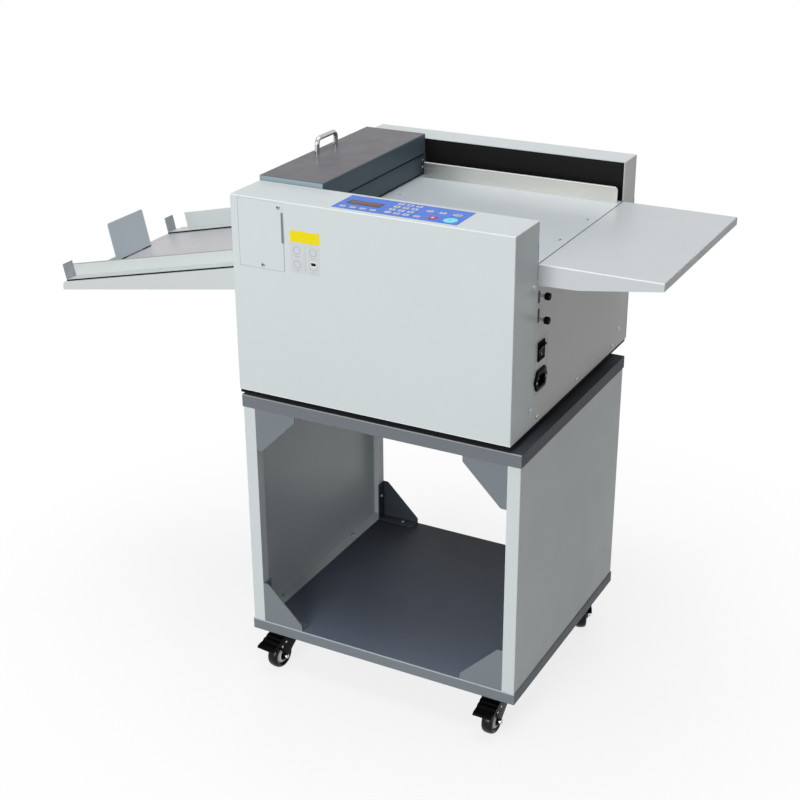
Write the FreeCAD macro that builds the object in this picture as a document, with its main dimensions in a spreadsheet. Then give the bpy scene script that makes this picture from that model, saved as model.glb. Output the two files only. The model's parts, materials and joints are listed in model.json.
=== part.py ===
import FreeCAD, Part
import math
import os
import re
import Sketcher

# Desktop paper creasing machine on a castored stand.
# +X runs against the paper path, from the exit tray to the infeed table, +Y to the back, +Z up.
# The origin lies on the floor under the middle of the stand. Lengths are in millimetres, angles in degrees.

Vector = FreeCAD.Vector
Rotation = FreeCAD.Rotation
Placement = FreeCAD.Placement

doc = FreeCAD.newDocument("CreasingMachine")

# Driving dimensions: each can be set by itself.
SIZES = (
    # stand
    ("stand_width", 495),
    ("stand_depth", 436),
    ("shelf_thickness", 20),
    ("panel_height", 404),
    ("top_thickness", 22),
    ("panel_thickness", 21.5),
    ("panel_inset", 1.5),
    ("panel_lip", 18),
    ("stand_sheet", 1.5),
    ("stand_bend", 1.3),
    ("top_lip", 30),
    ("shelf_lip", 72),
    ("gusset_leg", 75),
    ("gusset_tip", 10),
    ("gusset_plate", 2),
    ("gusset_flange", 22),
    ("gusset_round", 5),
    ("gusset_screw_reach", 48),
    ("gusset_screw_inset", 12),
    ("stand_screw_radius", 4),
    ("stand_screw_head", 2.4),
    ("foot_screw_front", 133),
    ("foot_screw_back", 115),
    ("foot_screw_inset", 9),
    # castors
    ("caster_height", 74),
    ("caster_inset_x", 44),
    ("caster_inset_y", 37),
    ("caster_plate_side", 50),
    ("caster_plate_thickness", 2.5),
    ("upper_race_radius", 17),
    ("lower_race_radius", 20),
    ("upper_race_height", 3.2),
    ("lower_race_height", 8),
    ("kingpin_radius", 5),
    ("kingpin_head_radius", 8),
    ("kingpin_head_height", 2.5),
    ("fork_wall", 2.5),
    ("fork_length_back", 18),
    ("fork_length_front", 26),
    ("fork_cheek_height", 12),
    ("wheel_trail", 22),
    ("wheel_radius", 24),
    ("wheel_width", 20),
    ("wheel_side_gap", 1),
    ("hub_radius", 10),
    ("hub_ring_radius", 15),
    ("axle_radius", 3),
    ("axle_nut_radius", 5),
    ("axle_nut_length", 5.5),
    ("axle_eye_radius", 8),
    ("pedal_pivot_radius", 2),
    ("pedal_pivot_drop", 6),
    ("pedal_pivot_head", 0.7),
    ("pedal_width", 34),
    ("pedal_reach", 38.5),
    ("pedal_heel", 17.3),
    ("pedal_plate", 2.5),
    ("pedal_lip", 5),
    ("swivel_front_left", -7),
    ("swivel_front_right", -1),
    ("swivel_rear_left", 14),
    ("swivel_rear_right", 25),
    # machine body
    ("foot_height", 9),
    ("foot_radius", 16),
    ("foot_inset", 42),
    ("plinth", 6),
    ("tray_flange", 18),
    ("body_width", 476),
    ("body_height", 324),
    ("body_inset", 4),
    ("body_overhang", 10),
    ("sheet", 1.5),
    ("cover_radius", 1.4),
    ("seam", 0.6),
    ("front_tower", 84),
    ("throat_width", 350),
    ("rear_tower", 56),
    ("table_sheet", 2),
    ("table_skirt", 22),
    ("frame_plate", 6),
    ("frame_headroom", 4),
    ("cover_screw_radius", 3.5),
    ("cover_screw_head", 1.6),
    ("tower_screw_inset", 13.5),
    ("tower_screw_high", 227),
    ("tower_screw_low", 31.5),
    ("ear_screw_inset", 43),
    ("end_screw_inset", 13.5),
    ("end_screw_height", 11),
    ("back_screw_inset", 14),
    ("head_screw_radius", 2.8),
    ("head_screw_inset", 6),
    ("head_screw_low", 14),
    ("head_screw_high", 27),
    ("vent_length", 2.4),
    ("vent_height", 44),
    ("vent_pitch", 9),
    ("vent_count", 12),
    ("vent_inset", 70),
    ("vent_low", 60),
    # head and lid
    ("head_length", 114),
    ("lid_height", 33),
    ("lid_rise", 8),
    ("lid_overhang", 1),
    ("lid_end_gap", 1.4),
    ("lid_radius", 1.8),
    ("lid_slit", 2.5),
    ("lid_ear", 18),
    ("lid_ear_drop", 21),
    ("lid_pin_radius", 4),
    ("lid_pin_inset", 6),
    ("lid_pin_height", 12),
    ("lid_rest_gap", 0.3),
    ("paper_gap", 5),
    ("exit_mouth_inset", 10),
    ("exit_mouth_half", 15),
    ("head_panel_setback", 2),
    ("head_panel_sheet", 2),
    ("head_panel_flange", 14),
    ("handle_inset", 17),
    ("handle_shift", 5),
    ("handle_span", 60),
    ("handle_rise", 25),
    ("handle_bar_radius", 4),
    ("handle_bend", 9),
    # tables and fence
    ("extension_length", 190),
    ("extension_skirt", 33),
    ("extension_skirt_slope", 2),
    ("extension_kink", 62),
    ("extension_lip", 12.5),
    ("extension_rise", 350),
    ("hook_slot_inset", 15),
    ("hook_slot_pitch", 114),
    ("hook_slot_length", 8),
    ("hook_slot_width", 2.5),
    ("fence_gap", 14),
    ("fence_height", 27),
    ("fence_sheet", 2),
    ("fence_start", 6),
    ("fence_end", 5),
    ("fence_foot", 11),
    ("fence_corner", 6),
    ("liner_sheet", 1),
    # access door
    ("door_inset", 14),
    ("door_width", 80),
    ("door_height", 108),
    ("door_top_gap", 3),
    ("door_gap", 0.7),
    ("door_slot_width", 3.2),
    ("door_slot_length", 48),
    ("door_slot_drop", 15),
    ("door_screw_inset", 7),
    ("door_screw_rise", 6),
    ("door_screw_shift", 2),
    ("door_lug", 14),
    # control panel
    ("overlay_left", 173),
    ("overlay_shift", 1.5),
    ("overlay_length", 206),
    ("overlay_depth", 65),
    ("overlay_sheet", 0.5),
    ("key_rise", 0.4),
    ("display_left", 13),
    ("display_front", 25),
    ("display_length", 54),
    ("display_depth", 17),
    ("display_body", 7),
    ("menu_key_x", 14),
    ("menu_key_y", 10),
    ("menu_key_pitch", 17),
    ("menu_key_length", 12),
    ("menu_key_depth", 7),
    ("number_key_x", 89),
    ("number_key_y", 11.5),
    ("number_key_pitch_x", 14.9),
    ("number_key_pitch_y", 14.7),
    ("number_key_length", 10.5),
    ("number_key_depth", 8.5),
    ("clear_key_x", 136.5),
    ("set_key_left_x", 143),
    ("set_key_right_x", 164),
    ("set_key_y", 42.5),
    ("set_key_length", 14),
    ("set_key_depth", 8),
    ("mode_key_x", 189),
    ("mode_key_length", 18),
    ("mode_key_depth", 11),
    ("stop_key_x", 160.5),
    ("start_key_x", 189),
    ("run_key_y", 15.5),
    ("stop_key_radius", 5.5),
    ("start_key_radius", 8.5),
    ("board_length", 190),
    ("board_depth", 58),
    ("board_sheet", 1.6),
    ("board_drop", 9),
    ("board_chip", 18),
    ("board_post_radius", 3),
    ("board_post_inset", 5),
    # knobs, switch and inlet on the infeed end
    ("knob_slot_y", 7),
    ("knob_slot_width", 6),
    ("upper_slot_z", 206),
    ("upper_slot_length", 16),
    ("upper_knob_shift", 3),
    ("lower_slot_z", 176.5),
    ("lower_slot_length", 19),
    ("lower_knob_shift", -5),
    ("knob_stem_radius", 2),
    ("knob_reach", 10),
    ("knob_radius", 5.8),
    ("knob_length", 8),
    ("knob_round", 1.5),
    ("knob_washer_radius", 4.5),
    ("knob_washer", 1.5),
    ("switch_y", 20.5),
    ("switch_z", 117),
    ("switch_width", 25.5),
    ("switch_height", 31),
    ("switch_bezel", 2.2),
    ("switch_rim", 2.2),
    ("switch_depth", 22),
    ("switch_wall", 1.5),
    ("rocker_gap", 0.4),
    ("rocker_swing", 0.6),
    ("rocker_tilt", 9),
    ("rocker_rise", 3.2),
    ("rocker_dip", 0.9),
    ("rocker_pin_radius", 1.5),
    ("inlet_y", 21),
    ("inlet_z", 69.5),
    ("inlet_width", 48),
    ("inlet_height", 36),
    ("inlet_flat", 30),
    ("inlet_flange", 3),
    ("inlet_depth", 26),
    ("socket_width", 24),
    ("socket_height", 17),
    ("socket_depth", 17),
    ("socket_wall", 2),
    ("socket_chamfer", 4.5),
    ("contact_length", 13),
    ("contact_width", 2),
    ("contact_height", 4),
    ("contact_pitch", 7),
    ("contact_offset", 2),
    # exit tray, guides and stop
    ("tray_slope", 12.8),
    ("tray_drop", 141),
    ("tray_length", 423),
    ("tray_side", 41.5),
    ("tray_side_end", 17),
    ("tray_lip", 10),
    ("tray_lip_radius", 9),
    ("tray_sheet", 1.5),
    ("tray_gap", 0.3),
    ("tray_hook_width", 24),
    ("tray_hook_inset", 36),
    ("tray_hook_drop", 16),
    ("tray_hook_length", 8),
    ("tray_hook_lip", 9),
    ("strip_height", 1.8),
    ("strip_width", 5),
    ("seat_gap", 0.3),
    ("guide_sheet", 1.2),
    ("guide_foot", 25),
    ("guide_start", 4),
    ("guide_front_wall", 25),
    ("guide_rear_wall", 33),
    ("guide_tab", 31),
    ("guide_rear_cut", 31),
    ("guide_rear_inset", 24),
    ("stop_width", 102),
    ("stop_height", 71),
    ("stop_y", 110),
    ("stop_inset", 27),
    ("stop_foot", 28),
    ("stop_magnet", 28),
    ("stop_corner", 4),
    # feeding and creasing mechanism
    ("roller_radius", 10),
    ("roller_proud", 0.2),
    ("roller_shaft_radius", 4),
    ("nip_gap", 0.3),
    ("infeed_roller_inset", 22),
    ("exit_roller_x", 24),
    ("roller_sleeve", 50),
    ("roller_sleeve_inset", 26),
    ("roller_slot", 14.4),
    ("shaft_fit", 0.05),
    ("bushing_radius", 7),
    ("shaft_end", 2),
    ("gear_teeth", 20),
    ("gear_width", 6),
    ("gear_gap", 2),
    ("pulley_radius", 8),
    ("pulley_width", 8),
    ("pulley_flange", 1),
    ("pulley_flange_rise", 2.5),
    ("belt_thickness", 1.4),
    ("belt_seat", 0.3),
    ("motor_side", 56),
    ("motor_length", 40),
    ("motor_post_radius", 3),
    ("motor_post_pitch", 47),
    ("motor_engagement", 14),
    ("crease_x", 58),
    ("die_width", 16),
    ("die_height", 30),
    ("die_gap", 1),
    ("groove_width", 1.6),
    ("groove_depth", 2.5),
    ("blade_thickness", 1),
    ("blade_lift", 3.5),
    ("crease_stroke", 4),
    ("beam_width", 14),
    ("beam_lift", 11),
    ("beam_height", 30),
    ("beam_end_gap", 2),
    ("tongue_width", 10),
    ("tongue_height", 20),
    ("tongue_lift", 6),
    ("tongue_play", 0.5),
    ("cam_shaft_radius", 4),
    ("cam_base_radius", 7),
    ("cam_turn", 160),
    ("cam_gap", 0.3),
    ("cam_headroom", 16.7),
    ("cam_width", 8),
    ("cam_inset", 26),
    ("crease_motor_radius", 13),
    ("crease_motor_length", 38),
    ("supply_x", 150),
    ("supply_y", 200),
    ("supply_length", 160),
    ("supply_depth", 98),
    ("supply_height", 38),
)

# Places that follow from the driving dimensions.
PLACES = {
    "stand_left": "0 - stand_width/2",
    "stand_front": "0 - stand_depth/2",
    "shelf_bottom": "caster_height",
    "shelf_top": "shelf_bottom + shelf_thickness",
    "panel_top": "shelf_top + panel_height",
    "stand_top": "panel_top + top_thickness",
    "panel_left": "stand_left + panel_inset",
    "panel_inner": "panel_left + panel_thickness",
    "panel_front": "stand_front + panel_inset",
    "tray_bottom": "stand_top + foot_height",
    "body_bottom": "tray_bottom + plinth",
    "body_top": "body_bottom + body_height",
    "body_left": "stand_left + body_inset",
    "body_right": "body_left + body_width",
    "body_front": "stand_front - body_overhang",
    "body_back": "body_front + front_tower + throat_width + rear_tower",
    "door_left": "body_left + door_inset",
    "door_right": "door_left + door_width",
    "door_top": "body_top - door_top_gap",
    "door_bottom": "door_top - door_height",
    "throat_front": "body_front + front_tower",
    "throat_back": "throat_front + throat_width",
    "throat_middle": "throat_front + throat_width/2",
    "cam_axis": "body_top - cam_headroom",
    "beam_top": "cam_axis - cam_base_radius - cam_gap",
    "beam_bottom": "beam_top - beam_height",
    "table_top": "beam_bottom - beam_lift",
    "overlay_x": "body_left + overlay_left",
    "overlay_y": "body_front + (front_tower - overlay_depth)/2 + overlay_shift",
    "head_right": "body_left + head_length",
    "lid_top": "body_top + lid_rise",
    "lid_bottom": "lid_top - lid_height",
    "lid_pin_x": "head_right - lid_pin_inset",
    "lid_pin_z": "lid_bottom + lid_pin_height",
    "frame_top": "body_top - frame_headroom",
    "frame_left": "body_left + 2*sheet",
    "frame_right": "body_right - 2*sheet",
    "frame_bottom": "tray_bottom + sheet",
    "lower_axis": "table_top + roller_proud - roller_radius",
    "upper_axis": "lower_axis + 2*roller_radius + nip_gap",
    "infeed_axis_x": "head_right - infeed_roller_inset",
    "exit_axis_x": "body_left + exit_roller_x",
    "crease_centre": "body_left + crease_x",
    "blade_tip": "table_top + blade_lift",
    "gear_module": "2*roller_radius/gear_teeth",
    "deck_x": "body_left - tray_gap",
    "deck_z": "body_top - tray_drop",
    "deck_run": "tray_length*cos(tray_slope)",
    "deck_fall": "tray_length*sin(tray_slope)",
    "foot_run": "strip_height + seat_gap",
}

ROW = {name: number for number, (name, value) in enumerate(SIZES, 1)}
sheet = doc.addObject("Spreadsheet::Sheet", "Sizes")
for name, value in SIZES:
    sheet.set(f"A{ROW[name]}", name)
    sheet.set(f"B{ROW[name]}", str(value))
    sheet.setAlias(f"B{ROW[name]}", name)
doc.recompute()

FUNCTIONS = ("cos", "sin", "tan", "min", "max")
UP = {
    "x": Rotation(Vector(0, 0, 1), Vector(1, 0, 0)),
    "y": Rotation(Vector(0, 0, 1), Vector(0, 1, 0)),
    "z": Rotation(),
}
nodes = []


def expression(text):
    """Write a formula in sizes and places as an expression on the sheet's cells."""
    def swap(match):
        word = match.group()
        if word in PLACES:
            return "(" + expression(PLACES[word]) + ")"
        if word in ROW:
            return "Sizes." + word
        if word in FUNCTIONS:
            return word
        raise NameError(word)
    return re.sub(r"[a-z][a-z_0-9]*", swap, str(text))


def size(name):
    """A driving dimension as a number."""
    return float(getattr(sheet, name))


def bind(item, prop, text):
    item.setExpression(prop, expression(text))


def place(item, x, y, z):
    for axis, text in zip("xyz", (x, y, z)):
        bind(item, "Placement.Base." + axis, text)
    return item


def named(item, label):
    """Give a finished sub-part its label, which is also its file's name."""
    item.Label = label
    nodes.append(item)
    return item


def box(name, x, y, z):
    """A block between two formulas along each axis."""
    item = doc.addObject("Part::Box", name)
    for prop, (low, high) in zip(("Length", "Width", "Height"), (x, y, z)):
        bind(item, prop, f"({high}) - ({low})")
    return place(item, x[0], y[0], z[0])


def rod(name, axis, centre, span, radius):
    """A cylinder along one axis: the other two coordinates of its centre, and where it starts and ends."""
    item = doc.addObject("Part::Cylinder", name)
    item.Placement = Placement(Vector(), UP[axis])
    bind(item, "Radius", radius)
    bind(item, "Height", f"({span[1]}) - ({span[0]})")
    spot = list(centre)
    spot.insert("xyz".index(axis), span[0])
    return place(item, *spot)


def union(name, *items):
    item = doc.addObject("Part::MultiFuse", name)
    item.Shapes = list(items)
    item.Refine = True
    return item


def group(name, *items):
    """Several separate solids in one sub-part."""
    item = doc.addObject("Part::Compound", name)
    item.Links = list(items)
    return item


def less(name, base, *tools):
    item = doc.addObject("Part::Cut", name)
    item.Base = base
    item.Tool = tools[0] if len(tools) == 1 else union(name + "_tools", *tools)
    item.Refine = True
    return item


def rounded(name, base, radius, choose):
    """Round the edges that choose(edge, box of the shape) picks."""
    doc.recompute()
    shape = base.Shape
    item = doc.addObject("Part::Fillet", name)
    item.Base = base
    reach = size(radius)
    item.Edges = [(number, reach, reach) for number, edge in enumerate(shape.Edges, 1)
                  if choose(edge, shape.BoundBox)]
    return item


def near(a, b):
    return abs(a - b) < 1e-4


def inside(value, low, high):
    return low + 1e-4 < value < high - 1e-4


def runs_along(edge, axis):
    """True for a straight edge along the given axis."""
    ends = edge.BoundBox
    lengths = {"x": ends.XLength, "y": ends.YLength, "z": ends.ZLength}
    return all(near(length, 0) != (name == axis) for name, length in lengths.items())


def body(name):
    return doc.addObject("PartDesign::Body", name)


def outline(owner, plane, points):
    """A closed sketch through points given as formulas, held by a distance to each axis."""
    sketch = owner.newObject("Sketcher::SketchObject", owner.Name + "_sketch")
    base = [item for item in owner.Origin.OriginFeatures if item.Role == plane][0]
    sketch.AttachmentSupport = [(base, "")]
    sketch.MapMode = "FlatFace"
    count = len(points)
    ring = [Vector(50*math.cos(2*math.pi*i/count), 50*math.sin(2*math.pi*i/count), 0) for i in range(count)]
    for i in range(count):
        sketch.addGeometry(Part.LineSegment(ring[i], ring[(i + 1) % count]), False)
    for i in range(count):
        sketch.addConstraint(Sketcher.Constraint("Coincident", i, 2, (i + 1) % count, 1))
    for i, point in enumerate(points):
        for kind, text, start in zip(("DistanceX", "DistanceY"), point, (ring[i].x, ring[i].y)):
            number = sketch.addConstraint(Sketcher.Constraint(kind, -1, 1, i, 1, start))
            label = f"{kind}{i}"
            sketch.renameConstraint(number, label)
            bind(sketch, "Constraints." + label, text)
    return sketch


def pad(owner, plane, points, length, reversed_side=False, symmetric=False):
    item = owner.newObject("PartDesign::Pad", owner.Name + "_pad")
    item.Profile = outline(owner, plane, points)
    item.SideType = "Symmetric" if symmetric else "One side"
    item.Reversed = reversed_side
    bind(item, "Length", length)
    return item


def pocket(owner, plane, points, length):
    """A cut to both sides of the sketch's plane."""
    item = owner.newObject("PartDesign::Pocket", owner.Name + "_pocket")
    item.Profile = outline(owner, plane, points)
    item.SideType = "Symmetric"
    bind(item, "Length", length)
    return item


def revolution(owner, points):
    """Turn a sketch in the XZ plane round the X axis."""
    item = owner.newObject("PartDesign::Revolution", owner.Name + "_turn")
    item.Profile = outline(owner, "XZ_Plane", points)
    item.ReferenceAxis = (item.Profile[0], ["H_Axis"])
    item.Angle = 360
    return item


def about(centre, width):
    """A span of a given width about a centre."""
    return (f"{centre} - ({width})/2", f"{centre} + ({width})/2")


def across(side, low, high):
    """A span given for the negative side of an axis, or its mirror image for the positive side."""
    return (low, high) if side < 0 else (f"0 - ({high})", f"0 - ({low})")


# ---------------------------------------------------------------- stand

def folded_plate(name, z, lip):
    """A plate of folded sheet: closed above, with edges that turn in underneath by a lip."""
    x = ("stand_left", "0 - (stand_left)")
    y = ("stand_front", "0 - (stand_front)")
    outer = box(name + "_outer", x, y, z)
    hollow = box(name + "_hollow", (f"{x[0]} + stand_sheet", f"{x[1]} - stand_sheet"),
                 (f"{y[0]} + stand_sheet", f"{y[1]} - stand_sheet"),
                 (f"{z[0]} + stand_sheet", f"{z[1]} - stand_sheet"))
    mouth = box(name + "_mouth", (f"{x[0]} + {lip}", f"{x[1]} - {lip}"),
                (f"{y[0]} + {lip}", f"{y[1]} - {lip}"), (z[0], f"{z[0]} + stand_sheet"))
    soft = rounded(name + "_soft", outer, "stand_bend", lambda edge, around: True)
    return named(less(name + "_cut", soft, hollow, mouth), name)


def side_panel(name, side):
    """A folded panel, open to the inside, with flanges all round and lips on the upright ones."""
    y = ("panel_front", "0 - (panel_front)")
    outer = box(name + "_outer", across(side, "panel_left", "panel_inner"), y, ("shelf_top", "panel_top"))
    hollow = box(name + "_hollow", across(side, "panel_left + stand_sheet", "panel_inner - stand_sheet"),
                 ("panel_front + stand_sheet", "0 - (panel_front) - stand_sheet"),
                 ("shelf_top + stand_sheet", "panel_top - stand_sheet"))
    mouth = box(name + "_mouth", across(side, "panel_inner - stand_sheet", "panel_inner"),
                ("panel_front + panel_lip", "0 - (panel_front) - panel_lip"),
                ("shelf_top + stand_sheet", "panel_top - stand_sheet"))
    soft = rounded(name + "_soft", outer, "stand_bend", lambda edge, around:
                   runs_along(edge, "z") and near(side*edge.BoundBox.Center.x,
                                                  max(side*around.XMin, side*around.XMax)))
    return named(less(name + "_cut", soft, hollow, mouth), name)


def signed(sign, origin, low, high):
    """A span measured from an origin towards one side."""
    if sign > 0:
        return (f"{origin} + {low}", f"{origin} + {high}")
    return (f"{origin} - ({high})", f"{origin} - ({low})")


def gusset(number, to_right, to_back, to_top):
    """A corner plate with a flange along each leg. Each sign says on which side of the opening it sits."""
    x0 = "0 - (panel_inner)" if to_right > 0 else "panel_inner"
    y0 = "0 - (panel_front)" if to_back > 0 else "panel_front"
    z0 = "panel_top" if to_top > 0 else "shelf_top"
    along, up, deep = -to_right, -to_top, -to_back
    plate = body(f"gusset_plate_{number}")
    corners = ((0, 0), ("gusset_leg", 0), ("gusset_leg", "gusset_tip"), ("gusset_tip", "gusset_leg"),
               (0, "gusset_leg"))
    points = [(f"{along}*{a}", f"{up}*{b}") for a, b in corners]
    pad(plate, "XZ_Plane", points, "gusset_plate", reversed_side=deep > 0)
    place(plate, x0, y0, z0)
    soft = rounded(f"gusset_soft_{number}", plate, "gusset_round", lambda edge, around:
                   runs_along(edge, "y")
                   and inside(edge.BoundBox.XMin, around.XMin, around.XMax)
                   != inside(edge.BoundBox.ZMin, around.ZMin, around.ZMax))
    level = box(f"gusset_level_{number}", signed(along, x0, "0", "gusset_leg"),
                signed(deep, y0, "0", "gusset_flange"), signed(up, z0, "0", "gusset_plate"))
    upright = box(f"gusset_upright_{number}", signed(along, x0, "0", "gusset_plate"),
                  signed(deep, y0, "0", "gusset_flange"), signed(up, z0, "0", "gusset_leg"))
    screws = (
        rod(f"gusset_screw_level_{number}", "z",
            (f"{x0} + {along}*gusset_screw_reach", f"{y0} + {deep}*gusset_screw_inset"),
            signed(up, z0, "gusset_plate", "gusset_plate + stand_screw_head"), "stand_screw_radius"),
        rod(f"gusset_screw_upright_{number}", "x",
            (f"{y0} + {deep}*gusset_screw_inset", f"{z0} + {up}*gusset_screw_reach"),
            signed(along, x0, "gusset_plate", "gusset_plate + stand_screw_head"), "stand_screw_radius"),
    )
    return union(f"gusset_{number}", soft, level, upright), screws


def stand():
    folded_plate("stand_shelf", ("shelf_bottom", "shelf_top"), "shelf_lip")
    folded_plate("stand_top_plate", ("panel_top", "stand_top"), "top_lip")
    side_panel("stand_left_panel", -1)
    side_panel("stand_right_panel", 1)
    gussets, screws = [], []
    corners = [(right, back, top) for right in (-1, 1) for back in (-1, 1) for top in (-1, 1)]
    for number, corner in enumerate(corners, 1):
        plate, pair = gusset(number, *corner)
        gussets.append(plate)
        screws.extend(pair)
    for side in (-1, 1):
        for number, y in enumerate(("foot_screw_front", "0 - foot_screw_back"), 1):
            x = across(side, "panel_left + foot_screw_inset", "0")[0 if side < 0 else 1]
            screws.append(rod(f"panel_foot_screw_{number}", "z", (x, f"0 - ({y})"),
                              ("shelf_top + stand_sheet", "shelf_top + stand_sheet + stand_screw_head"),
                              "stand_screw_radius"))
    named(group("gusset_set", *gussets), "stand_gussets")
    named(group("screw_set", *screws), "stand_screws")


# ---------------------------------------------------------------- castors

CASTERS = {
    "fl": (-1, -1, "swivel_front_left"),
    "fr": (1, -1, "swivel_front_right"),
    "rl": (-1, 1, "swivel_rear_left"),
    "rr": (1, 1, "swivel_rear_right"),
}
FORK_TOP = "caster_height - caster_plate_thickness - upper_race_height - seat_gap - lower_race_height"
FORK_HALF = "wheel_width/2 + wheel_side_gap + fork_wall"
PEDAL_Z = f"{FORK_TOP} - pedal_pivot_drop"


def caster_axis(side, end):
    """Where a castor's swivel axis meets the floor."""
    return f"{side}*(stand_width/2 - caster_inset_x)", f"{end}*(stand_depth/2 - caster_inset_y)", "0"


def caster_spot(item, name):
    """Turn a castor's piece about its swivel axis and set it under its corner of the shelf."""
    side, end, turn = CASTERS[name]
    item.Placement = Placement(Vector(), Rotation(Vector(0, 0, 1), 10))
    bind(item, "Placement.Rotation.Angle", turn)
    return place(item, *caster_axis(side, end))


def caster_plate(name):
    """The fixed top plate with its race and the kingpin that the fork hangs on."""
    half = "caster_plate_side/2"
    plate_low = "caster_height - caster_plate_thickness"
    plate = box(f"{name}_plate", (f"0 - {half}", half), (f"0 - {half}", half), (plate_low, "caster_height"))
    race = rod(f"{name}_race", "z", ("0", "0"), (f"{plate_low} - upper_race_height", plate_low),
               "upper_race_radius")
    pin_low = f"{FORK_TOP} - fork_wall - seat_gap"
    pin = rod(f"{name}_kingpin", "z", ("0", "0"), (pin_low, plate_low), "kingpin_radius")
    head = rod(f"{name}_kingpin_head", "z", ("0", "0"), (f"{pin_low} - kingpin_head_height", pin_low),
               "kingpin_head_radius")
    return place(union(f"{name}_mount", plate, race, pin, head), *caster_axis(*CASTERS[name][:2]))


def caster_fork(name):
    """Two cheeks and a crown of folded steel, the lower race, the axle bolt and the pedal's pivots."""
    shell = body(f"{name}_fork_body")
    top, eye = FORK_TOP, "axle_eye_radius"
    side = (("fork_length_back", top), ("0 - fork_length_front", top),
            (f"0 - wheel_trail - {eye}*1.1", f"{top} - fork_cheek_height"),
            (f"0 - wheel_trail - {eye}", f"wheel_radius - {eye}*0.5"),
            (f"0 - wheel_trail - {eye}*0.5", f"wheel_radius - {eye}"),
            (f"0 - wheel_trail + {eye}*0.5", f"wheel_radius - {eye}"),
            (f"0 - wheel_trail + {eye}", f"wheel_radius - {eye}*0.5"),
            ("fork_length_back", f"{top} - fork_cheek_height"))
    pad(shell, "YZ_Plane", side, f"2*({FORK_HALF})", symmetric=True)
    far, ceiling = "fork_length_front + wheel_trail", f"{top} - fork_wall"
    well = ((far, ceiling), (f"0 - ({far})", ceiling), (f"0 - ({far})", "0"), (far, "0"))
    pocket(shell, "YZ_Plane", well, "wheel_width + 2*wheel_side_gap")
    race = rod(f"{name}_lower_race", "z", ("0", "0"), (top, f"{top} + lower_race_height"),
               "lower_race_radius")
    bore = rod(f"{name}_kingpin_bore", "z", ("0", "0"), (f"{top} - fork_wall", f"{top} + lower_race_height"),
               "kingpin_radius + shaft_fit")
    axle = rod(f"{name}_axle", "x", ("0 - wheel_trail", "wheel_radius"), (f"0 - ({FORK_HALF})", FORK_HALF),
               "axle_radius")
    nuts = [rod(f"{name}_nut_{number}", "x", ("0 - wheel_trail", "wheel_radius"),
                across(sign, f"0 - ({FORK_HALF}) - axle_nut_length", f"0 - ({FORK_HALF})"), "axle_nut_radius")
            for number, sign in ((1, -1), (2, 1))]
    pivot_end = f"{FORK_HALF} + seat_gap + fork_wall + pedal_pivot_head"
    pivots = [rod(f"{name}_pivot_{number}", "x", ("0 - wheel_trail", PEDAL_Z),
                  across(sign, f"0 - ({pivot_end})", f"0 - ({FORK_HALF})"), "pedal_pivot_radius")
              for number, sign in ((1, -1), (2, 1))]
    plain = less(f"{name}_fork_bored", union(f"{name}_fork_crown", shell, race), bore)
    item = union(f"{name}_fork", plain, axle, *nuts, *pivots)
    return named(caster_spot(item, name), f"caster_{name}_fork")


def caster_wheel(name):
    """The wheel: a hub with a sunk ring and a round-shouldered tread, turned about its axle."""
    wheel = body(f"{name}_wheel_body")
    half, tread, ring = "wheel_width/2", "wheel_radius", "hub_ring_radius"
    side = ((f"{half} - 1", "axle_radius + shaft_fit"), (f"{half} - 1", "hub_radius"),
            (f"{half} - 2.5", "hub_radius + 0.5"), (f"{half} - 2.5", ring), (half, f"{ring} + 2"),
            (half, f"{tread} - 4"), (f"{half} - 1", f"{tread} - 1.6"), (f"{half} - 3.5", tread))
    points = list(side) + [(f"0 - ({x})", r) for x, r in reversed(side)]
    revolution(wheel, points)
    item = group(f"{name}_wheel", place(wheel, "0", "0 - wheel_trail", "wheel_radius"))
    return named(caster_spot(item, name), f"caster_{name}_wheel")


def caster_pedal(name):
    """The brake pedal: a tread plate on two arms that hang on the fork's pivots."""
    z = PEDAL_Z
    tip = "0 - wheel_trail - pedal_reach"
    arm_in, arm_out = f"{FORK_HALF} + seat_gap", f"{FORK_HALF} + seat_gap + fork_wall"
    heel = "0 - wheel_trail - pedal_heel"
    plate = box(f"{name}_tread", about("0", "pedal_width"), (tip, heel), (f"{z} - pedal_plate", z))
    lip = box(f"{name}_tread_lip", about("0", "pedal_width"), (tip, f"{tip} + pedal_plate"),
              (f"{z} - pedal_lip", z))
    parts = [plate, lip]
    for number, sign in ((1, -1), (2, 1)):
        span = across(sign, f"0 - ({arm_out})", f"0 - ({arm_in})")
        arm = box(f"{name}_arm_{number}", span, (heel, "0 - wheel_trail"),
                  (f"{z} - 2*pedal_pivot_radius", f"{z} + 2*pedal_pivot_radius"))
        eye = rod(f"{name}_arm_eye_{number}", "x", ("0 - wheel_trail", z), span, "2*pedal_pivot_radius")
        bore = rod(f"{name}_arm_bore_{number}", "x", ("0 - wheel_trail", z), span,
                   "pedal_pivot_radius + shaft_fit")
        parts.append(less(f"{name}_arm_bored_{number}", union(f"{name}_arm_set_{number}", arm, eye), bore))
    return named(caster_spot(union(f"{name}_pedal", *parts), name), f"caster_{name}_pedal")


def casters():
    named(group("caster_plate_set", *[caster_plate(name) for name in CASTERS]), "caster_plates")
    for name in CASTERS:
        caster_fork(name)
        caster_wheel(name)
        caster_pedal(name)


# ---------------------------------------------------------------- machine casing

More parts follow.
